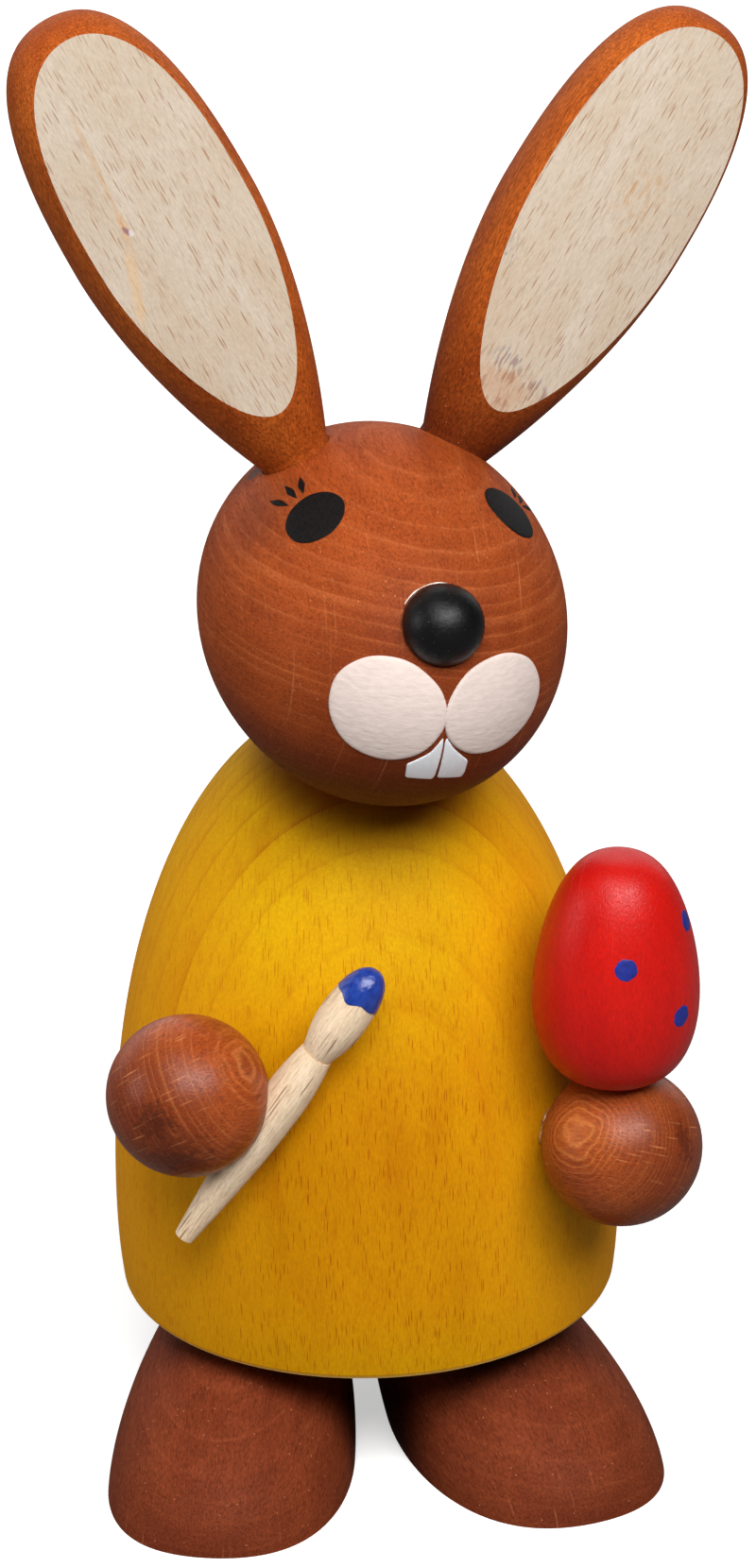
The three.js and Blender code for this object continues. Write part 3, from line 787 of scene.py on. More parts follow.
setRoom()
setFloor()
setBackdrop()
scene.view_settings.view_transform = "Standard"
print("camera, lamps and floor set")


# ---- body

def paintedSideLightLowShade(tree, log, colour):  # painted light and shade: warmer and brighter towards both sides, darker low down in the middle
    x, _, z = split(tree, log)
    aside = ramp(tree, calc(tree, "ABSOLUTE", calc(tree, "SUBTRACT", x, -4.0)), 9.0, 26.0)
    low = ramp(tree, z, 64.0, 46.0, 0.0, 0.9, smooth=True)
    hem = ramp(tree, z, bodyForm["underside"], 24.0, 0.5)
    inside = times(tree, times(tree, low, hem), calc(tree, "SUBTRACT", 1.0, aside))
    colour = blend(tree, inside, colour, blend(tree, 1.0, colour, (244, 214, 214), kind="MULTIPLY"))
    return blend(tree, times(tree, aside, 0.65), colour, (250, 158, 18))


def paintedShadeUnderChin(tree, log, colour):  # painted shade under and round the head's seat, brown like light thrown back off the head
    reach = (headForm["radius"], headForm["radius"], headForm["length"] / 2)
    inHead = localTo(tree, log, headAxis.translation, headAxis.to_euler(), reach)
    away = vector(tree, "LENGTH", inHead, output="Value")
    near = ramp(tree, away, 1.02, 1.42, 0.95, 0.0, smooth=True)
    return blend(tree, near, colour, (120, 40, 4))


# paler in a thin band along the hem, just above the underside
def hemLine(tree, log, colour):
    z = split(tree, log)[2]
    mask = ramp(tree, z, bodyForm["underside"] + 0.25, bodyForm["underside"] + 0.5, 0.7, 0.0)
    return blend(tree, mask, colour, (232, 190, 110))


bodyLook = {"pale": (222, 171, 8), "deep": (214, 160, 7), "end": (206, 142, 7),
            "ring": (184, 108, 3), "ringDepth": 0.9, "fleck": (172, 80, 4), "grit": 0.1,
            "ray": (246, 204, 60), "fleckDepth": 0.85, "pore": (206, 136, 6),
            "poreDepth": 0.4, "roughness": 0.55, "gloss": 0.05, "ringFade": (22.0, 38.0), "fleckLoss": 0.3,
            "grain": {"Pith X": 12.3, "Pith Y": 68.8, "Lean X": -0.124, "Lean Y": 0.12, "Reach": 98.0,
                      "Ring Gap": 2.4, "Ring Wander": 0.3, "Ring Band": 0.6, "Fleck Width": 0.25,
                      "Fleck Length": 3.1, "Fleck Share": 1.0, "Ray Share": 0.0},
            "extras": [paintedSideLightLowShade, paintedShadeUnderChin, hemLine]}
neckHeight = headHeight - headForm["radius"] * sqrt(1 - (2 * headForm["forward"] / headForm["length"]) ** 2)
neckHole = (neckDowel, neckHeight - neckDowel["inBody"], neckHeight + neckDowel["inHead"], Matrix())
handTouch = handForm["radius"] - handForm["sink"]
handHole = (handDowel, handTouch - handDowel["inHand"], handTouch + handDowel["inBody"])


def makeBody():
    values = {"Radius": bodyForm["radius"], "Girth Height": bodyForm["girthHeight"],
              "Crown Rise": bodyForm["crownRise"], "Crown Fullness": bodyForm["crownFullness"],
              "Skirt Drop": bodyForm["skirtDrop"], "Skirt Fullness": bodyForm["skirtFullness"]}
    bell = grown(turnedBell, values)
    bell = sliced(bell, (0, 0, bodyForm["underside"]), (0, 0, -1), edge=bodyForm["hemRound"], snap=0.5)
    headSeat = moved(turnedBall(headForm["length"] + 2 * seatGap, 2 * (headForm["radius"] + seatGap)),
                     headAxis)
    tools = [headSeat, dowelHole(*neckHole)]
    handWidth = 2 * (handForm["radius"] + seatGap)
    for axis in (rightHandAxis, leftHandAxis):
        tools.append(moved(turnedBall(handWidth, handWidth, 64, 40), axis))
        tools.append(dowelHole(*handHole, axis))
    for stand in (rightFootStand, leftFootStand):
        under = stand @ spot(0, -crownForward, bodyForm["underside"])
        tools.append(dowelHole(footDowel, -footDowel["inFoot"], footDowel["inBody"], under))
    show("bodyBell", cutOut(bell, tools), [beech("yellowStain", Matrix(), bodyLook)], ["body"])


makeBody()
print("body turned")


# ---- head and nose

def darkChin(tree, log, colour):  # darker low on the head, towards the chin
    low = ramp(tree, split(tree, log)[1], -4.0, -12.0, 0.0, 0.75)
    return blend(tree, low, colour, (70, 29, 17))


headLook = {"pale": (167, 77, 32), "deep": (145, 63, 26), "end": (109, 46, 23), "endDepth": 0.7,
            "ring": (194, 106, 58), "ringDepth": 0.8, "fleck": (110, 42, 14), "fleckDepth": 0.35,
            "ray": (200, 124, 80), "rayDepth": 0.5, "pore": (100, 38, 13), "poreDepth": 0.55,
            "roughness": 0.5, "gloss": 0.06, "grit": 0.24,
            "extras": [darkChin,
                       marked((108, 52, 30), 0.5, (-13.5, 12.5, 1.0), (6, 8, 8), ragged=0.2, soft=0.9), dusty,
                       marked((104, 78, 72), 0.8, (-12.3, 12.6, -8.4), (1.4, 1.5, 1.7), ragged=0.1,
                              soft=0.25)],
            "grain": {"Pith X": -15.3, "Pith Y": -176.5, "Lean X": -0.09, "Lean Y": 0.042, "Reach": 185.0,
                      "Ring Gap": 1.4, "Ring Wander": 0.65, "Ring Band": 0.12, "Ray Share": 0.75}}


def earOutline(ear, gap=0.0):
    root = earRoot["radius"]
    throatSteps = 40
    bladeSteps = 56
    throat = []
    for step in range(throatSteps):
        height = ear["girthAt"] * step / throatSteps
        short = (ear["girthAt"] - height) / ear["girthAt"]
        throat.append((ear["radius"] - (ear["radius"] - root) * short ** earRoot["swell"] + gap, height))
    blade = []
    for step in range(bladeSteps + 1):
        angle = pi / 2 * step / bladeSteps
        power = 2 / earRoot["tipFullness"]
        rise = (ear["length"] - ear["girthAt"]) * sin(angle) ** power
        blade.append((max(ear["radius"] * cos(angle), 0) ** power * ear["radius"] ** (1 - power),
                      ear["girthAt"] + rise))
    return throat, blade


earGap = 0.07  # the glue fills the rest of the ear's seat


def earSeat(ear, place):
    throat = earOutline(ear, earGap)[0]
    root = earRoot["radius"] + earGap
    bottom = -earRoot["depth"] - holeEndGap
    return moved(lathe([(0, bottom), (root, bottom)] + throat + [(0, ear["girthAt"])], 64), place)


def noseSeat():
    bottom = -noseForm["skirt"] - noseForm["pegLength"] - holeEndGap
    peg = noseForm["pegRadius"] + dowelGap
    floorAt = -noseForm["skirt"] - seatGap
    wide = noseForm["radius"] + 0.06
    outline = [(0, bottom), (peg, bottom), (peg, floorAt), (wide, floorAt), (wide, noseForm["radius"]),
               (0, noseForm["radius"])]
    return moved(lathe(outline, 64), nosePlace)


plainHead = moved(turnedBall(headForm["length"], 2 * headForm["radius"], 128, 96), headAxis)


def makeHead():
    tools = [dowelHole(*neckHole), earSeat(rightEar, rightEarPlace), earSeat(leftEar, leftEarPlace),
             noseSeat()]
    show("headForm", cutOut(plainHead.copy(), tools), [beech("headStain", headAxis, headLook)], ["head"])


makeHead()


def makeNose():
    edge = 0.25
    edgeSteps = 4
    domeSteps = 28
    radius = noseForm["radius"]
    skirt = noseForm["skirt"]
    peg = noseForm["pegRadius"]
    outline = [(0, -skirt - noseForm["pegLength"]), (peg, -skirt - noseForm["pegLength"]), (peg, -skirt)]
    for step in range(edgeSteps + 1):
        angle = pi / 2 * step / edgeSteps
        outline.append((radius - edge + edge * sin(angle), -skirt + edge - edge * cos(angle)))
    for step in range(domeSteps):
        angle = pi / 2 * step / domeSteps
        outline.append((radius * cos(angle), radius * sin(angle)))
    outline.append((0, radius))
    material, tree, shader = newFinish("blackPaint")
    here = millimetres(tree, nosePlace)
    speck = specks(tree, here, 1.6, 0.04, 0.09, 1.0)
    colour = blend(tree, times(tree, speck, 0.6), (6, 6, 7), (104, 100, 96))
    orangePeel = mottle(tree, here, 2.6, 4.0)
    plug(tree, shader, {"Base Color": colour, "Roughness": ramp(tree, orangePeel, 0.0, 1.0, 0.3, 0.55),
                        "Normal": bumped(tree, calc(tree, "ADD", orangePeel, speck), 0.7, 0.05),
                        "Specular IOR Level": 0.3})
    show("noseHalfBall", moved(lathe(outline, 72), nosePlace), [material], ["nose"], crease=50)


makeNose()
print("head and nose turned")


# ---- ears

def rootStainAndShade(depth):  # darker where the ear meets the head: thicker stain, and painted shade in the joint
    def extra(tree, log, colour):
        z = split(tree, log)[2]
        low = ramp(tree, z, 0.0, 14.0, depth, 0.0)
        return blend(tree, low, colour, (88, 33, 12))
    return extra


earLook = {"pale": (192, 97, 34), "deep": (166, 76, 26), "end": (156, 67, 24), "ring": (124, 50, 16),
           "ringDepth": 0.3, "fleck": (108, 42, 14), "ray": (190, 108, 60), "fleckDepth": 0.4,
           "pore": (106, 40, 13), "poreDepth": 0.65, "roughness": 0.5, "gloss": 0.06, "grit": 0.4}
flatLook = {"pale": (200, 186, 169), "deep": (193, 174, 152), "end": (180, 156, 124),
            "ring": (184, 158, 128), "ringDepth": 0.4, "fleck": (150, 104, 68),
            "ray": (214, 200, 180), "fleckDepth": 0.85, "pore": (178, 152, 124),
            "poreDepth": 0.4, "roughness": 0.65, "relief": 0.35, "grit": 0.08}
edgeLook = {"pale": (200, 116, 60), "deep": (180, 94, 44), "end": (180, 94, 44), "ring": (172, 90, 42),
            "ringDepth": 0.3, "fleck": (132, 64, 30), "ray": (206, 126, 74), "fleckDepth": 0.4,
            "pore": (132, 64, 30), "poreDepth": 0.3, "roughness": 0.5}


knotMarks = [
    marked((190, 150, 108), 0.4, (-3.5, 0, 39.0), (0.4, 30, 8.5), spin=5),
    marked((212, 172, 122), 0.45, (-6.2, 0, 25.6), (0.8, 30, 6.4), spin=19.5),
    marked((208, 150, 92), 0.4, (-4.2, 0, 31.6), (0.6, 30, 2.3), spin=8),
    marked((128, 88, 104), 0.75, (-4.15, 0, 30.9), (0.3, 30, 0.8), spin=-20, ragged=0.2),
    marked((214, 206, 208), 0.7, (-3.85, 0, 30.5), (0.3, 30, 0.5), spin=0, ragged=0.2)]
greyMarks = [
    marked((184, 140, 106), 0.5, (-0.6, 0, 7.4), (4.6, 30, 3.0)),
    streaked((134, 126, 134), 0.6, (-1.6, 0, 10.6), (2.6, 30, 1.8)),
    streaked((146, 138, 142), 0.6, (2.6, 0, 9.4), (1.8, 30, 2.4)),
    streaked((134, 126, 132), 0.6, (-7.3, 0, 20.2), (1.6, 30, 2.2)),
    streaked((150, 100, 66), 0.6, (0.0, 0, 8.0), (5.0, 30, 3.6)),
    streaked((186, 142, 92), 0.45, (1.8, 0, 31.5), (3.2, 30, 5.0))]


def makeEar(name, ear, place, node, pith, rootDepth, marks):
    throat, blade = earOutline(ear)
    root = earRoot["radius"]
    bottom = -earRoot["depth"]
    outline = [(0, bottom), (root - earRoot["chamfer"], bottom), (root, bottom + earRoot["chamfer"])]
    outline += throat + blade[:-1] + [(0, ear["length"])]
    slant = radians(-earRoot["flatSlant"])
    facing = Vector((0, -cos(slant), -sin(slant)))
    mesh = sliced(lathe(outline, 112), (0, -ear["flatDistance"], ear["girthAt"]), facing,
                  edge=0.22, flatMaterial=1, edgeMaterial=2)
    grain = {"Pith X": pith[0], "Pith Y": pith[1], "Reach": 40.0, "Ring Gap": 2.2, "Ring Wander": 0.5}
    stainExtras = [rootStainAndShade(rootDepth), dusty]
    finishes = [beech(name + "Stain", place, {**earLook, "grain": grain, "extras": stainExtras}),
                beech(name + "Flat", place, {**flatLook, "extras": marks,
                                             "grain": {**grain, "Fleck Width": 0.22, "Fleck Share": 1.0}}),
                beech(name + "Edge", place, {**edgeLook, "grain": grain})]
    show(name, moved(mesh, place), finishes, [node], crease=50)


makeEar("rightEarWood", rightEar, rightEarPlace, "right_ear", (4.0, 40.0), 0.2, knotMarks)
makeEar("leftEarWood", leftEar, leftEarPlace, "left_ear", (-3.0, 42.0), 0.9, greyMarks)
print("ears turned and milled")


# ---- hands

handLook = {"pale": (170, 80, 32), "deep": (146, 61, 24), "end": (112, 44, 19),
            "endDepth": 0.75, "ring": (198, 116, 62), "ringDepth": 0.65, "fleck": (92, 34, 16),
            "ray": (206, 128, 78), "rayDepth": 0.8, "fleckDepth": 0.5, "pore": (84, 31, 14),
            "poreDepth": 0.6, "roughness": 0.32, "gloss": 0.25, "grit": 0.24}
rightHandMarks = [marked((62, 24, 12), 0.7, (1.6, 0.7, -8.2), (3.4, 3.0, 3.0), ragged=0.5, soft=0.8),
                  # painted shade over the ball's lower front
                  marked((74, 29, 13), 0.75, (3.6, 5.0, -6.0), (6.0, 5.0, 5.0), ragged=0.4, soft=0.9),
                  marked((112, 44, 16), 0.5, (6.6, -5.0, 0.4), (2.2, 3.0, 3.0), ragged=0.5, soft=0.8),
                  whorled((206, 120, 62), 0.45, (6.8, -5.0, 0.2), 0.4, 5.0)]
leftHandMarks = [marked((196, 108, 50), 0.4, (-7.4, -4.2, 0.2), (3.4, 3.4, 4.0), ragged=0.3, soft=0.8),
                 whorled((212, 128, 66), 0.5, (-7.4, -4.2, 0.2), 0.34, 6.5),
                 marked((84, 32, 15), 0.7, (0.4, -1.6, -8.2), (1.6, 3.2, 3.0), ragged=0.5, soft=0.7)]


def makeHand(name, axis, cuts, grain, marks):
    diameter = 2 * handForm["radius"]
    ball = moved(turnedBall(diameter, diameter), axis)
    ball = cutOut(ball, [dowelHole(*handHole, axis)] + cuts)
    return ball, beech(name + "Stain", axis, {**handLook, "grain": grain, "extras": marks})


def makeHands():
    wide = brushForm["handle"] + seatGap
    outline = [(0, 0), (wide, 0), (wide, brushForm["length"]), (0, brushForm["length"])]
    groove = moved(lathe(outline, 72), brushPlace)
    ball, finish = makeHand("rightHand", rightHandAxis, [groove],
                            {"Pith X": -46.6, "Pith Y": 32.0, "Lean X": -0.036, "Lean Y": 0.141,
                             "Reach": 57.0, "Ring Gap": 0.8, "Ring Wander": 0.15, "Ring Band": 0.08,
                             "Ray Share": 1.0, "Ray Length": 3.0}, rightHandMarks)
    show("rightHandBall", ball, [finish], ["right_hand"])
    ball, finish = makeHand("leftHand", leftHandAxis, [],
                            {"Pith X": -44.9, "Pith Y": -24.7, "Lean X": -0.087, "Lean Y": 0.144,
                             "Reach": 51.0, "Ring Gap": 0.45, "Ring Wander": 0.12, "Ring Band": 0.2,
                             "Ray Share": 0.9, "Ray Length": 3.0}, leftHandMarks)
    ball = sliced(ball, (0, 0, eggSeatHeight), (0, 0, 1), edge=0.1)
    show("leftHandBall", ball, [finish], ["left_hand"])


makeHands()
print("hands turned")


# ---- paint brush

def brushOutline():
    form = brushForm
    handleSteps, neckSteps, bristleSteps, tipSteps = 24, 12, 12, 20
    points = []
    for step in range(handleSteps + 1):
        part = step / handleSteps
        points.append((form["tail"] + (form["handle"] - form["tail"]) * sin(part * pi / 2),
                       part * form["handleAt"]))
    for step in range(1, neckSteps + 1):
        part = step / neckSteps
        points.append((form["neck"] + (form["handle"] - form["neck"]) * cos(part * pi / 2),
                       form["handleAt"] + part * (form["neckAt"] - form["handleAt"])))
    ferrule = form["neck"] - form["neckStep"]
    for step in range(bristleSteps + 1):
        part = step / bristleSteps
        points.append((ferrule + (form["bristle"] - ferrule) * sin(part * pi / 2),
                       form["neckAt"] + 0.02 + part * (form["bristleAt"] - form["neckAt"] - 0.02)))
    power = 2 / form["bristleFullness"]
    for step in range(1, tipSteps + 1):
        angle = pi / 2 * step / tipSteps
        points.append((form["bristle"] * max(cos(angle), 0) ** power,
                       form["bristleAt"] + (form["length"] - form["bristleAt"]) * sin(angle) ** power))
    points[-1] = (0, form["length"])
    return points


brushLook = {"pale": (247, 224, 193), "deep": (234, 205, 171), "end": (206, 172, 130),
             "ring": (210, 178, 140), "ringDepth": 0.4, "fleck": (134, 90, 54),
             "ray": (244, 226, 200), "fleckDepth": 0.95, "pore": (190, 154, 114),
             "poreDepth": 0.5, "roughness": 0.7, "relief": 1.0, "grit": 0.1,
             "grain": {"Pith X": 6.0, "Pith Y": 20.0, "Reach": 20.0, "Ring Gap": 1.6, "Ring Wander": 0.3,
                       "Fleck Width": 0.3, "Fleck Length": 6.5, "Fleck Share": 0.4}}


def makeBrush():
    outline = [(0, 0)] + brushOutline()
    show("brushWood", moved(lathe(outline, 56), brushPlace), [beech("bareBrushWood", brushPlace, brushLook)],
         ["paint_brush"], crease=30)


makeBrush()
print("brush turned")


# ---- egg

eggLook = {"pale": (208, 24, 14), "deep": (194, 18, 11), "end": (184, 15, 10),
           "ring": (176, 12, 13), "ringDepth": 0.2, "fleck": (160, 10, 12),
           "ray": (224, 56, 44), "fleckDepth": 0.22, "pore": (172, 12, 12),
           "poreDepth": 0.4, "roughness": 0.32, "gloss": 0.25, "relief": 1.0, "grit": 0.12,
           "grain": {"Pith X": 8.0, "Pith Y": 26.0, "Reach": 30.0, "Ring Gap": 2.0, "Ring Wander": 0.5}}
plainEgg = moved(turnedEgg(eggForm["length"], eggForm["width"], eggForm["fullness"], eggForm["taper"],
                           around=112, rings=88), eggPlace)


def makeEgg():
    mesh = sliced(plainEgg.copy(), (0, 0, eggSeatHeight + seatGap), (0, 0, -1), edge=0.08)
    show("easterEgg", mesh, [beech("redStain", eggPlace, eggLook)], ["egg"])


makeEgg()
print("egg turned")


# ---- feet

footLook = {"pale": (126, 58, 31), "deep": (110, 48, 25), "end": (104, 44, 26), "ring": (150, 74, 42),
            "ringDepth": 0.5, "fleck": (84, 30, 14), "ray": (170, 92, 60), "fleckDepth": 0.35,
            "pore": (80, 28, 13), "poreDepth": 0.55, "roughness": 0.6, "gloss": 0.06, "grit": 0.3}


# painted shadow of the body: dark under the hem and between the feet
footShade = (24, 9, 5)
rightFootShadow = [marked(footShade, 0.85, (3.0, 12.0, -1.0), (17, 9, 8), ragged=0.05, soft=0.9),
                  marked(footShade, 0.8, (13.0, 2.0, 1.0), (4.5, 10, 10), ragged=0.05, soft=0.9)]
leftFootShadow = [marked(footShade, 0.85, (-3.0, 12.0, 4.0), (17, 9, 8), ragged=0.05, soft=0.9),
                 marked(footShade, 0.8, (-13.0, 1.0, 1.0), (4.5, 10, 10), ragged=0.05, soft=0.9)]


def makeFoot(name, stand, place, node, grain, marks):
    egg = turnedEgg(footForm["length"], footForm["width"], footForm["fullness"], footForm["taper"], 112, 88)
    egg = sliced(moved(egg, place), (0, 0, 0), (0, 0, -1), edge=0.25)
    egg = sliced(egg, (0, 0, bodyForm["underside"] - seatGap), (0, 0, 1), edge=0.0)
    under = stand @ spot(0, -crownForward, bodyForm["underside"])
    egg = cutOut(egg, [dowelHole(footDowel, -footDowel["inFoot"], footDowel["inBody"], under)])
    show(name, egg, [beech(name + "Stain", place, {**footLook, "grain": grain,
                                            "extras": [dusty] + marks})], [node])


makeFoot("rightFootWood", rightFootStand, rightFootPlace, "right_foot",
         {"Pith X": -0.2, "Pith Y": 91.0, "Lean X": 0.104, "Lean Y": 0.242, "Reach": 82.0, "Ring Gap": 1.9,
          "Ring Wander": 0.25, "Ray Share": 0.6, "Ray Length": 6.0}, rightFootShadow)
makeFoot("leftFootWood", leftFootStand, leftFootPlace, "left_foot",
         {"Pith X": 0.8, "Pith Y": -52.7, "Lean X": -0.199, "Lean Y": 0.22, "Reach": 58.0, "Ring Gap": 1.9,
          "Ring Wander": 0.25, "Ray Share": 0.6, "Ray Length": 6.0}, leftFootShadow)
print("feet turned")


# ---- paint: flat patches with a rounded rim, laid on the head or the egg

def layOnTree():
    tree, given = newTree("layOn", [
        ("Surface", "Object", None), ("Middle", "Vector", (0, 0, 0)), ("Across", "Vector", (1, 0, 0)),
        ("Up", "Vector", (0, 0, 1)), ("Out", "Vector", (0, -1, 0)), ("Finish", "Material", None)])
    target = put(tree, "GeometryNodeObjectInfo", {"Object": given["Surface"]}).outputs["Geometry"]
    here = put(tree, "GeometryNodeInputPosition").outputs[0]
    x, y, lift = split(tree, here)
    over = vector(tree, "ADD", given["Middle"], scaled(tree, given["Out"], 8.0))
    aside = vector(tree, "ADD", scaled(tree, given["Across"], x), scaled(tree, given["Up"], y))
    ray = put(tree, "GeometryNodeRaycast", {
        "Target Geometry": target, "Source Position": vector(tree, "ADD", over, aside),
        "Ray Direction": scaled(tree, given["Out"], -1.0), "Ray Length": 30.0}).outputs
    landed = vector(tree, "ADD", ray["Hit Position"], scaled(tree, ray["Hit Normal"], lift))
    laid = shifted(tree, given["Geometry"], landed)
    return closeTree(tree, laid, given["Finish"])


layOn = layOnTree()


headCarrier = placed("carrier", plainHead)  # stands in for the finished head while paint is laid on it


def tangentFrame(middle):  # at a point of the head, in the head's own millimetres
    half = headForm["length"] / 2
    radius = headForm["radius"]
    out = Vector((middle[0] / radius ** 2, middle[1] / half ** 2, middle[2] / radius ** 2)).normalized()
    across = (Vector((1, 0, 0)) - out * out.x).normalized()
    up = out.cross(across)
    turned = headPlace.to_3x3()
    return headPlace @ Vector(middle), turned @ across, turned @ up, turned @ out


def patch(rim, thickness, edge, rings=10, middle=(0, 0), sunk=0.06):  # rim of (across, up) around the middle
    shape = bmesh.new()
    mx, my = middle
    profile = [(step / rings, 0, thickness) for step in range(1, rings)]
    profile += [(1, edge, thickness), (1, 0.62 * edge, 0.93 * thickness), (1, 0.29 * edge, 0.71 * thickness),
                (1, 0.08 * edge, 0.38 * thickness), (1, 0, 0), (1, 0, -sunk)]
    profile += [(step / rings, edge, -sunk) for step in range(rings - 1, 0, -2)]
    loops = []
    for share, inset, lift in profile:
        loop = []
        for px, py in rim:
            reach = hypot(px - mx, py - my)
            scale = share * (reach - (inset if share == 1 else edge)) / reach
            loop.append(shape.verts.new((mx + (px - mx) * scale, my + (py - my) * scale, lift)))
        loops.append(loop)
    count = len(rim)
    for inner, outer in zip(loops, loops[1:]):
        for step in range(count):
            after = (step + 1) % count
            shape.faces.new((inner[step], outer[step], outer[after], inner[after]))
    top = shape.verts.new((mx, my, thickness))
    bottom = shape.verts.new((mx, my, -sunk))
    for step in range(count):
        after = (step + 1) % count
        shape.faces.new((top, loops[0][step], loops[0][after]))
        shape.faces.new((bottom, loops[-1][after], loops[-1][step]))
    return asMesh(shape, "patch")


def ovalRim(long, short, tilt, middle=(0, 0), wobble=0.015, phase=0.0, steps=72):
    rim = []
    for step in range(steps):
        a = 2 * pi * step / steps
        uneven = 1 + wobble * (sin(3 * a + phase) + 0.6 * sin(5 * a + 2.3 * phase + 1)
                               + 0.4 * sin(9 * a + phase))
        px = long * uneven * cos(a)
        py = short * uneven * sin(a)
        t = radians(tilt)
        rim.append((middle[0] + px * cos(t) - py * sin(t), middle[1] + px * sin(t) + py * cos(t)))
    return rim


def softRim(corners, ease=0.25, steps=5):  # a painted outline through its corners, each a little rounded
    rim = []
    count = len(corners)
    for index, corner in enumerate(corners):
        here = Vector(corner)
        before = Vector(corners[index - 1])
        after = Vector(corners[(index + 1) % count])
        start = here + (before - here).normalized() * min(ease, (before - here).length / 2)
        end = here + (after - here).normalized() * min(ease, (after - here).length / 2)
        for step in range(steps + 1):
            t = step / steps
            rim.append(tuple(start * (1 - t) ** 2 + here * 2 * t * (1 - t) + end * t ** 2))
        gap = Vector(corners[(index + 1) % count]) - here
        pieces = max(int(gap.length / 0.5), 1)
        nextStart = after + (here - after).normalized() * min(ease, gap.length / 2)
        for step in range(1, pieces):
            rim.append(tuple(end.lerp(nextStart, step / pieces)))
    return rim


def layOnHead(name, mesh, middle, finish):
    at, across, up, out = tangentFrame(middle)
    laid = grown(layOn, {"Surface": headCarrier, "Middle": at, "Across": across, "Up": up, "Out": out}, mesh)
    show(name, laid, [finish], crease=70)


def handPaint(name, base, shade, roughness, place, strokes=(1.2, 1.2, 1.2), dust=None, relief=0.5,
              gloss=0.2):
    material, tree, shader = newFinish(name)
    here = millimetres(tree, place)
    sweep = mottle(tree, here, strokes, 4.0)
    tone = ramp(tree, sweep, 0.35, 0.68)
    colour = blend(tree, tone, base, shade)
    if dust:
        colour = blend(tree, specks(tree, here, 2.2, 0.05, 0.11, 0.5), colour, dust)
    plug(tree, shader, {"Base Color": colour, "Roughness": roughness, "Specular IOR Level": gloss,
                        "Normal": bumped(tree, sweep, relief, 0.12)})
    return material


blackEye = handPaint("eyePaint", (7, 7, 8), (28, 25, 24), 0.55, headPlace, strokes=(5, 5, 5),
                     dust=(90, 70, 60), gloss=0.12)
cheekPaint = handPaint("cheekPaint", (230, 212, 203), (222, 204, 195), 0.6, headPlace,
                       strokes=(0.9, 0.9, 2.0), relief=0.6, gloss=0.08)
toothPaint = handPaint("toothPaint", (250, 251, 253), (242, 245, 252), 0.45, headPlace,
                       strokes=(2.4, 0.8, 0.5))

face = {
    "rightEye": {"middle": (-10.2, -6.9, 14.7), "offset": (0.05, -0.3), "long": 3.3, "short": 3.25,
                 "tilt": 0},
    "leftEye": {"middle": (10.44, -7.44, 14.45), "offset": (0.12, 0.15), "long": 3.35, "short": 3.2,
                "tilt": 157},
    "rightCheek": {"middle": (-5.69, -23.1, 0.21), "offset": (0, 0), "long": 6.04, "short": 5.66,
                   "tilt": 162},
    "leftCheek": {"middle": (6.27, -22.85, 0.15), "offset": (0, 0), "long": 6.15, "short": 5.4,
                  "tilt": -173}}
for phase, (name, spotOf) in enumerate(face.items()):
    isEye = name.endswith("Eye")
    rim = ovalRim(spotOf["long"], spotOf["short"], spotOf["tilt"], spotOf["offset"], 0.008, 1.7 * phase)
    mesh = patch(rim, 0.1 if isEye else 0.22, 0.12 if isEye else 0.4, middle=spotOf["offset"])
    layOnHead(name, mesh, spotOf["middle"], blackEye if isEye else cheekPaint)

teeth = {
    "middle": (0.81, -23.21, -5.37),
    "rightTooth": [(-0.44, 2.41), (-0.52, 3.03), (-1.57, 1.16), (-3.67, -0.69), (-3.41, -2.84),
                   (-0.59, -3.11), (-0.43, -2.48)],
    "leftTooth": [(-0.28, 2.39), (-0.11, -2.92), (2.66, -3.5), (2.86, -2.66), (2.76, -0.69), (0.82, 1.49),
                  (-0.14, 2.99)]}
for name, heart in (("rightTooth", (-1.6, -1.3)), ("leftTooth", (1.1, -1.3))):
    layOnHead(name, patch(softRim(teeth[name]), 0.12, 0.12, rings=6, middle=heart), teeth["middle"],
              toothPaint)


def lashTree():
    tree, given = newTree("lashes", [("Width", "Float", 0.5), ("Thickness", "Float", 0.1),
                                     ("Finish", "Material", None)])
    ball, here = ballOf(tree, 14, 18)
    x, y, z = split(tree, here)
    # the ball's poles become the two points of the stroke
    half = times(tree, given["Width"], 0.5)
    left = calc(tree, "SUBTRACT", 1.0, calc(tree, "ABSOLUTE", z))
    slim = calc(tree, "SQRT", calc(tree, "MAXIMUM", left, 0.0))
    stroke = joined(tree, calc(tree, "MULTIPLY_ADD", z, 0.5, 0.5), times(tree, times(tree, y, half), slim),
                    times(tree, x, given["Thickness"]))
    spindle = shifted(tree, ball, stroke)
    spin = joined(tree, 0.0, 0.0, stored(tree, "aim"))
    rotation = put(tree, "FunctionNodeEulerToRotation", {0: spin}).outputs[0]
    size = joined(tree, stored(tree, "long"), 1.0, 1.0)
    fan = put(tree, "GeometryNodeInstanceOnPoints", {"Points": given["Geometry"], "Instance": spindle,
                                                     "Rotation": rotation, "Scale": size}).outputs[0]
    return closeTree(tree, fan, given["Finish"])


lashes = lashTree()
# each stroke from its root to its tip, as distance and angle from the eye's middle
lashStrokes = {
    "rightLashes": {"eye": "rightEye", "width": 0.82,
                    "strokes": [(3.68, 95, 6.73, 92), (3.63, 108, 6.97, 107), (3.78, 125, 7.11, 125)]},
    "leftLashes": {"eye": "leftEye", "width": 0.72,
                   "strokes": [(4.40, 59, 7.75, 63), (4.50, 49, 7.98, 54), (4.42, 45, 8.26, 40)]},
}


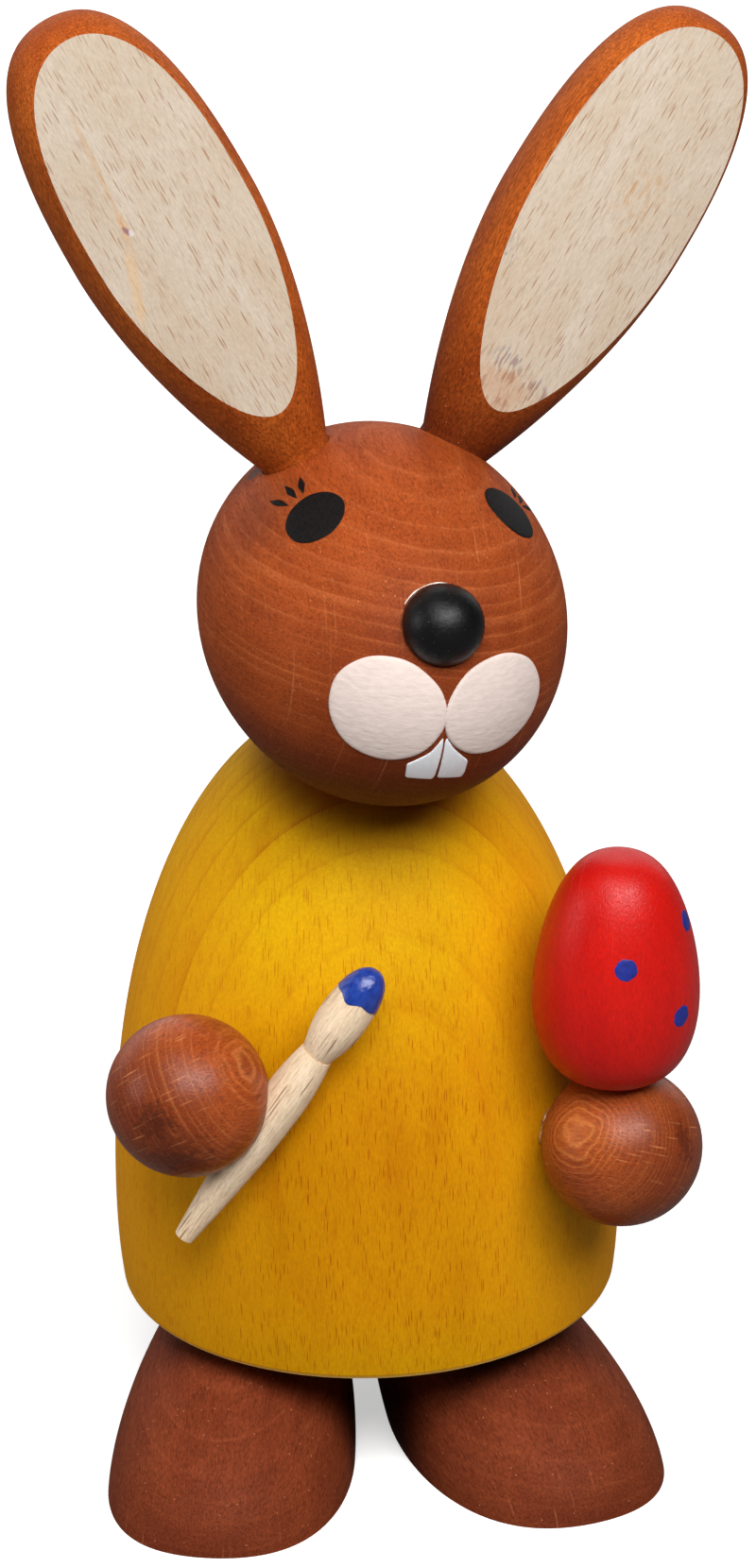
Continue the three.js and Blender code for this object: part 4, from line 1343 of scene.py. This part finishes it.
def makeLashes(name, fan):
    roots = []
    aims = []
    lengths = []
    for rootReach, rootAngle, tipReach, tipAngle in fan["strokes"]:
        root = bow(rootReach, rootAngle)
        tip = bow(tipReach, tipAngle)
        roots.append(root)
        aims.append(atan2(tip.y - root.y, tip.x - root.x))
        lengths.append((tip - root).length)
    start = startingPoints(roots, {"aim": aims, "long": lengths})
    layOnHead(name, grown(lashes, {"Width": fan["width"]}, start), face[fan["eye"]]["middle"], blackEye)


for name, fan in lashStrokes.items():
    makeLashes(name, fan)
print("face painted")


# ---- egg dots

def dotTree():
    tree, given = newTree("eggDots", [
        ("Egg", "Object", None), ("Dot Radius", "Float", 1.16), ("Thickness", "Float", 0.07),
        ("Raggedness", "Float", 0.16), ("Seed", "Float", 3.0), ("Finish", "Material", None)])
    ball, here = ballOf(tree, 40, 12)
    thick = joined(tree, given["Dot Radius"], given["Dot Radius"], given["Thickness"])
    flat = shifted(tree, ball, vector(tree, "MULTIPLY", here, thick))
    facing = stored(tree, "facing", "FLOAT_VECTOR")
    rotation = put(tree, "FunctionNodeAlignRotationToVector", {"Vector": facing}, axis="Z").outputs[0]
    dots = put(tree, "GeometryNodeInstanceOnPoints", {"Points": given["Geometry"], "Instance": flat,
                                                      "Rotation": rotation}).outputs[0]
    real = put(tree, "GeometryNodeRealizeInstances", {0: dots}).outputs[0]
    target = put(tree, "GeometryNodeObjectInfo", {"Object": given["Egg"]}).outputs["Geometry"]
    nearest = put(tree, "GeometryNodeProximity", {"Geometry": target},
                  target_element="FACES").outputs["Position"]
    middle = stored(tree, "middle", "FLOAT_VECTOR")
    away = vector(tree, "SUBTRACT", here, middle)
    lift = vector(tree, "DOT_PRODUCT", away, facing, output="Value")
    noise = mottle(tree, here, 1.7, 2.0, seed=given["Seed"])
    ragged = times(tree, calc(tree, "SUBTRACT", noise, 0.5), times(tree, given["Raggedness"], 3.0))
    pushed = scaled(tree, away, ragged)
    lifted = scaled(tree, facing, lift)
    landed = vector(tree, "ADD", vector(tree, "ADD", nearest, pushed), lifted)
    laid = shifted(tree, real, landed)
    return closeTree(tree, laid, given["Finish"])


eggDots = dotTree()
# height above the egg's middle, and angle from the front toward the figure's left
dotSpots = [(3.4, -5.2), (-2.95, 39.5), (6.15, 66.5), (-1.2, 97.0), (5.0, 139.0), (-5.0, 152.0),
            (1.4, -158.0), (-3.6, -121.0)]


def makeDots():
    carried = placed("carrier", plainEgg)
    points = []
    normals = []
    for height, azimuth in dotSpots:
        along = height / (eggForm["length"] / 2)
        step = 0.01
        radius = eggRadius(eggForm, along)
        widening = eggRadius(eggForm, along + step) - eggRadius(eggForm, along - step)
        slope = widening / (step * eggForm["length"])
        a = radians(azimuth)
        points.append(eggPlace @ Vector((radius * sin(a), -radius * cos(a), height)))
        normals.append((eggPlace.to_3x3() @ Vector((sin(a), -cos(a), -slope))).normalized())
    start = startingPoints(points, {"facing": normals, "middle": points})
    finish = handPaint("dotPaint", (40, 54, 146), (30, 40, 122), 0.45, eggPlace)
    dots = grown(eggDots, {"Egg": carried}, start)
    for label in ("facing", "middle"):
        if label in dots.attributes:
            dots.attributes.remove(dots.attributes[label])
    show("eggDots", dots, [finish], crease=60)
    bpy.data.objects.remove(carried)


makeDots()
bpy.data.objects.remove(headCarrier)


# ---- glue squeezed out at three joints, each a bead along a path

def beadTree():
    tree, given = newTree("glueBead", [("Radius", "Float", 0.2), ("Unevenness", "Float", 0.5),
                                       ("Seed", "Float", 1.0), ("Finish", "Material", None)])
    path = put(tree, "GeometryNodeMeshToCurve", {"Mesh": given["Geometry"]}).outputs[0]
    path = put(tree, "GeometryNodeResampleCurve", {"Curve": path, "Count": 72}).outputs[0]
    along = put(tree, "GeometryNodeSplineParameter").outputs["Factor"]
    middle = calc(tree, "ABSOLUTE", calc(tree, "MULTIPLY_ADD", along, 2.0, -1.0))
    left = calc(tree, "SUBTRACT", 1.0, calc(tree, "POWER", middle, 5.0))
    full = calc(tree, "SQRT", calc(tree, "MAXIMUM", left, 0.02))
    here = put(tree, "GeometryNodeInputPosition").outputs[0]
    noise = mottle(tree, here, 0.9, 2.0, seed=given["Seed"])
    swell = calc(tree, "MULTIPLY_ADD", calc(tree, "SUBTRACT", noise, 0.5),
                 times(tree, given["Unevenness"], 4.0), 1.0)
    size = times(tree, times(tree, given["Radius"], full), calc(tree, "MAXIMUM", swell, 0.2))
    ring = put(tree, "GeometryNodeCurvePrimitiveCircle", {"Resolution": 14, "Radius": 1.0}).outputs[0]
    bead = put(tree, "GeometryNodeCurveToMesh", {"Curve": path, "Profile Curve": ring, "Scale": size,
                                                 "Fill Caps": True}).outputs[0]
    return closeTree(tree, bead, given["Finish"])


glueBead = beadTree()


def glue(name, points, values, finish):
    start = startingPoints(points, {}, [(step, step + 1) for step in range(len(points) - 1)])
    show(name, grown(glueBead, values, start), [finish], crease=60)


def onHead(angle, radius):  # where a line beside the nose's axis meets the head
    a = radians(angle)
    intoHead = headPlace.inverted()
    start = intoHead @ (nosePlace @ Vector((radius * cos(a), radius * sin(a), 6)))
    inward = intoHead.to_3x3() @ (nosePlace.to_3x3() @ Vector((0, 0, -1)))
    half = (headForm["radius"], headForm["length"] / 2, headForm["radius"])
    o = Vector([part / size for part, size in zip(start, half)])
    d = Vector([part / size for part, size in zip(inward, half)])
    b = o.dot(d)
    step = (-b - sqrt(b * b - d.dot(d) * (o.dot(o) - 1))) / d.dot(d)
    return headPlace @ (start + step * inward)


def makeGlue():
    white = handPaint("driedGlue", (232, 222, 212), (200, 176, 160), 0.4, nosePlace, gloss=0.4)
    clear = handPaint("clearGlue", (150, 92, 48), (196, 150, 90), 0.12, Matrix(), gloss=0.6)
    line = [onHead(angle, noseForm["radius"] + 0.13) for angle in range(68, 149, 4)]
    glue("noseGlue", line, {"Radius": 0.08, "Unevenness": 0.8, "Seed": 2.0}, white)
    under = [eggSeat + bow(2.8, angle, 0.08) for angle in range(-200, 41, 6)]
    glue("eggGlue", under, {"Radius": 0.24, "Unevenness": 0.5, "Seed": 5.0}, clear)
    behind = [leftHandAxis @ bow(3.65, angle, 7.95) for angle in range(180, 256, 5)]
    glue("handGlue", behind, {"Radius": 0.2, "Unevenness": 1.0, "Seed": 8.0}, clear)


makeGlue()
print("glue beads laid")


# ---- blue paint on the brush's tip, with a scalloped edge and one run

tipPaint = {"edge": 33.0, "scallop": 0.22, "drip": 0.6, "dripAt": 20, "thickness": 0.09}


def brushRadiusAt(height):
    form = brushForm
    power = form["bristleFullness"]
    if height > form["bristleAt"]:
        share = min((height - form["bristleAt"]) / (form["length"] - form["bristleAt"]), 1)
        return form["bristle"] * (1 - share ** power) ** (1 / power)
    ferrule = form["neck"] - form["neckStep"]
    part = (height - form["neckAt"]) / (form["bristleAt"] - form["neckAt"])
    return ferrule + (form["bristle"] - ferrule) * sin(part * pi / 2)


def makeTipPaint():
    form = brushForm
    around = 72
    steps = 24
    shape = bmesh.new()
    rings = []
    profile = [(0.0, -0.05), (0.0, 0.0), (0.12, 0.7), (0.3, 0.95)]
    profile += [(0.5 + step, 1.0) for step in range(steps)]
    for position, lift in profile:
        ring = []
        for step in range(around):
            angle = 2 * pi * step / around
            low = tipPaint["edge"] + tipPaint["scallop"] * (sin(4 * angle + 0.6) + 0.5 * sin(7 * angle))
            gap = (angle - radians(tipPaint["dripAt"]) + pi) % (2 * pi) - pi
            low -= tipPaint["drip"] * max(0, 1 - (gap / 0.35) ** 2)
            share = sin(pi / 2 * min(position / (steps + 0.5), 1))
            height = low + (form["length"] - low) * share
            radius = brushRadiusAt(height) + tipPaint["thickness"] * lift
            top = tipPaint["thickness"] * lift * max(share - 0.9, 0) * 10
            ring.append(shape.verts.new((radius * cos(angle), radius * sin(angle), height + top)))
        rings.append(ring)
    for low, high in zip(rings, rings[1:]):
        for step in range(around):
            after = (step + 1) % around
            shape.faces.new((low[step], low[after], high[after], high[step]))
    crown = shape.verts.new((0, 0, form["length"] + tipPaint["thickness"]))
    inside = shape.verts.new((0, 0, form["length"] - 1.5))
    for step in range(around):
        after = (step + 1) % around
        shape.faces.new((rings[-1][step], rings[-1][after], crown))
        shape.faces.new((rings[0][after], rings[0][step], inside))
    finish = handPaint("brushTipPaint", (34, 66, 156), (24, 48, 132), 0.2, brushPlace,
                       strokes=(2.4, 2.4, 0.8), relief=0.9, gloss=0.6)
    show("brushTipPaint", moved(asMesh(shape, "tip"), brushPlace), [finish], crease=60)


makeTipPaint()
print("dots and brush tip painted")


# ---- dowels keep their own solids

dowelLook = {**brushLook, "fleckDepth": 0.5}
dowelFinish = beech("dowelBeech", Matrix(), dowelLook)
for name in ("neck_dowel", "right_hand_dowel", "left_hand_dowel", "right_foot_dowel", "left_foot_dowel"):
    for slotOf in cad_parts[name].material_slots:
        slotOf.material = dowelFinish
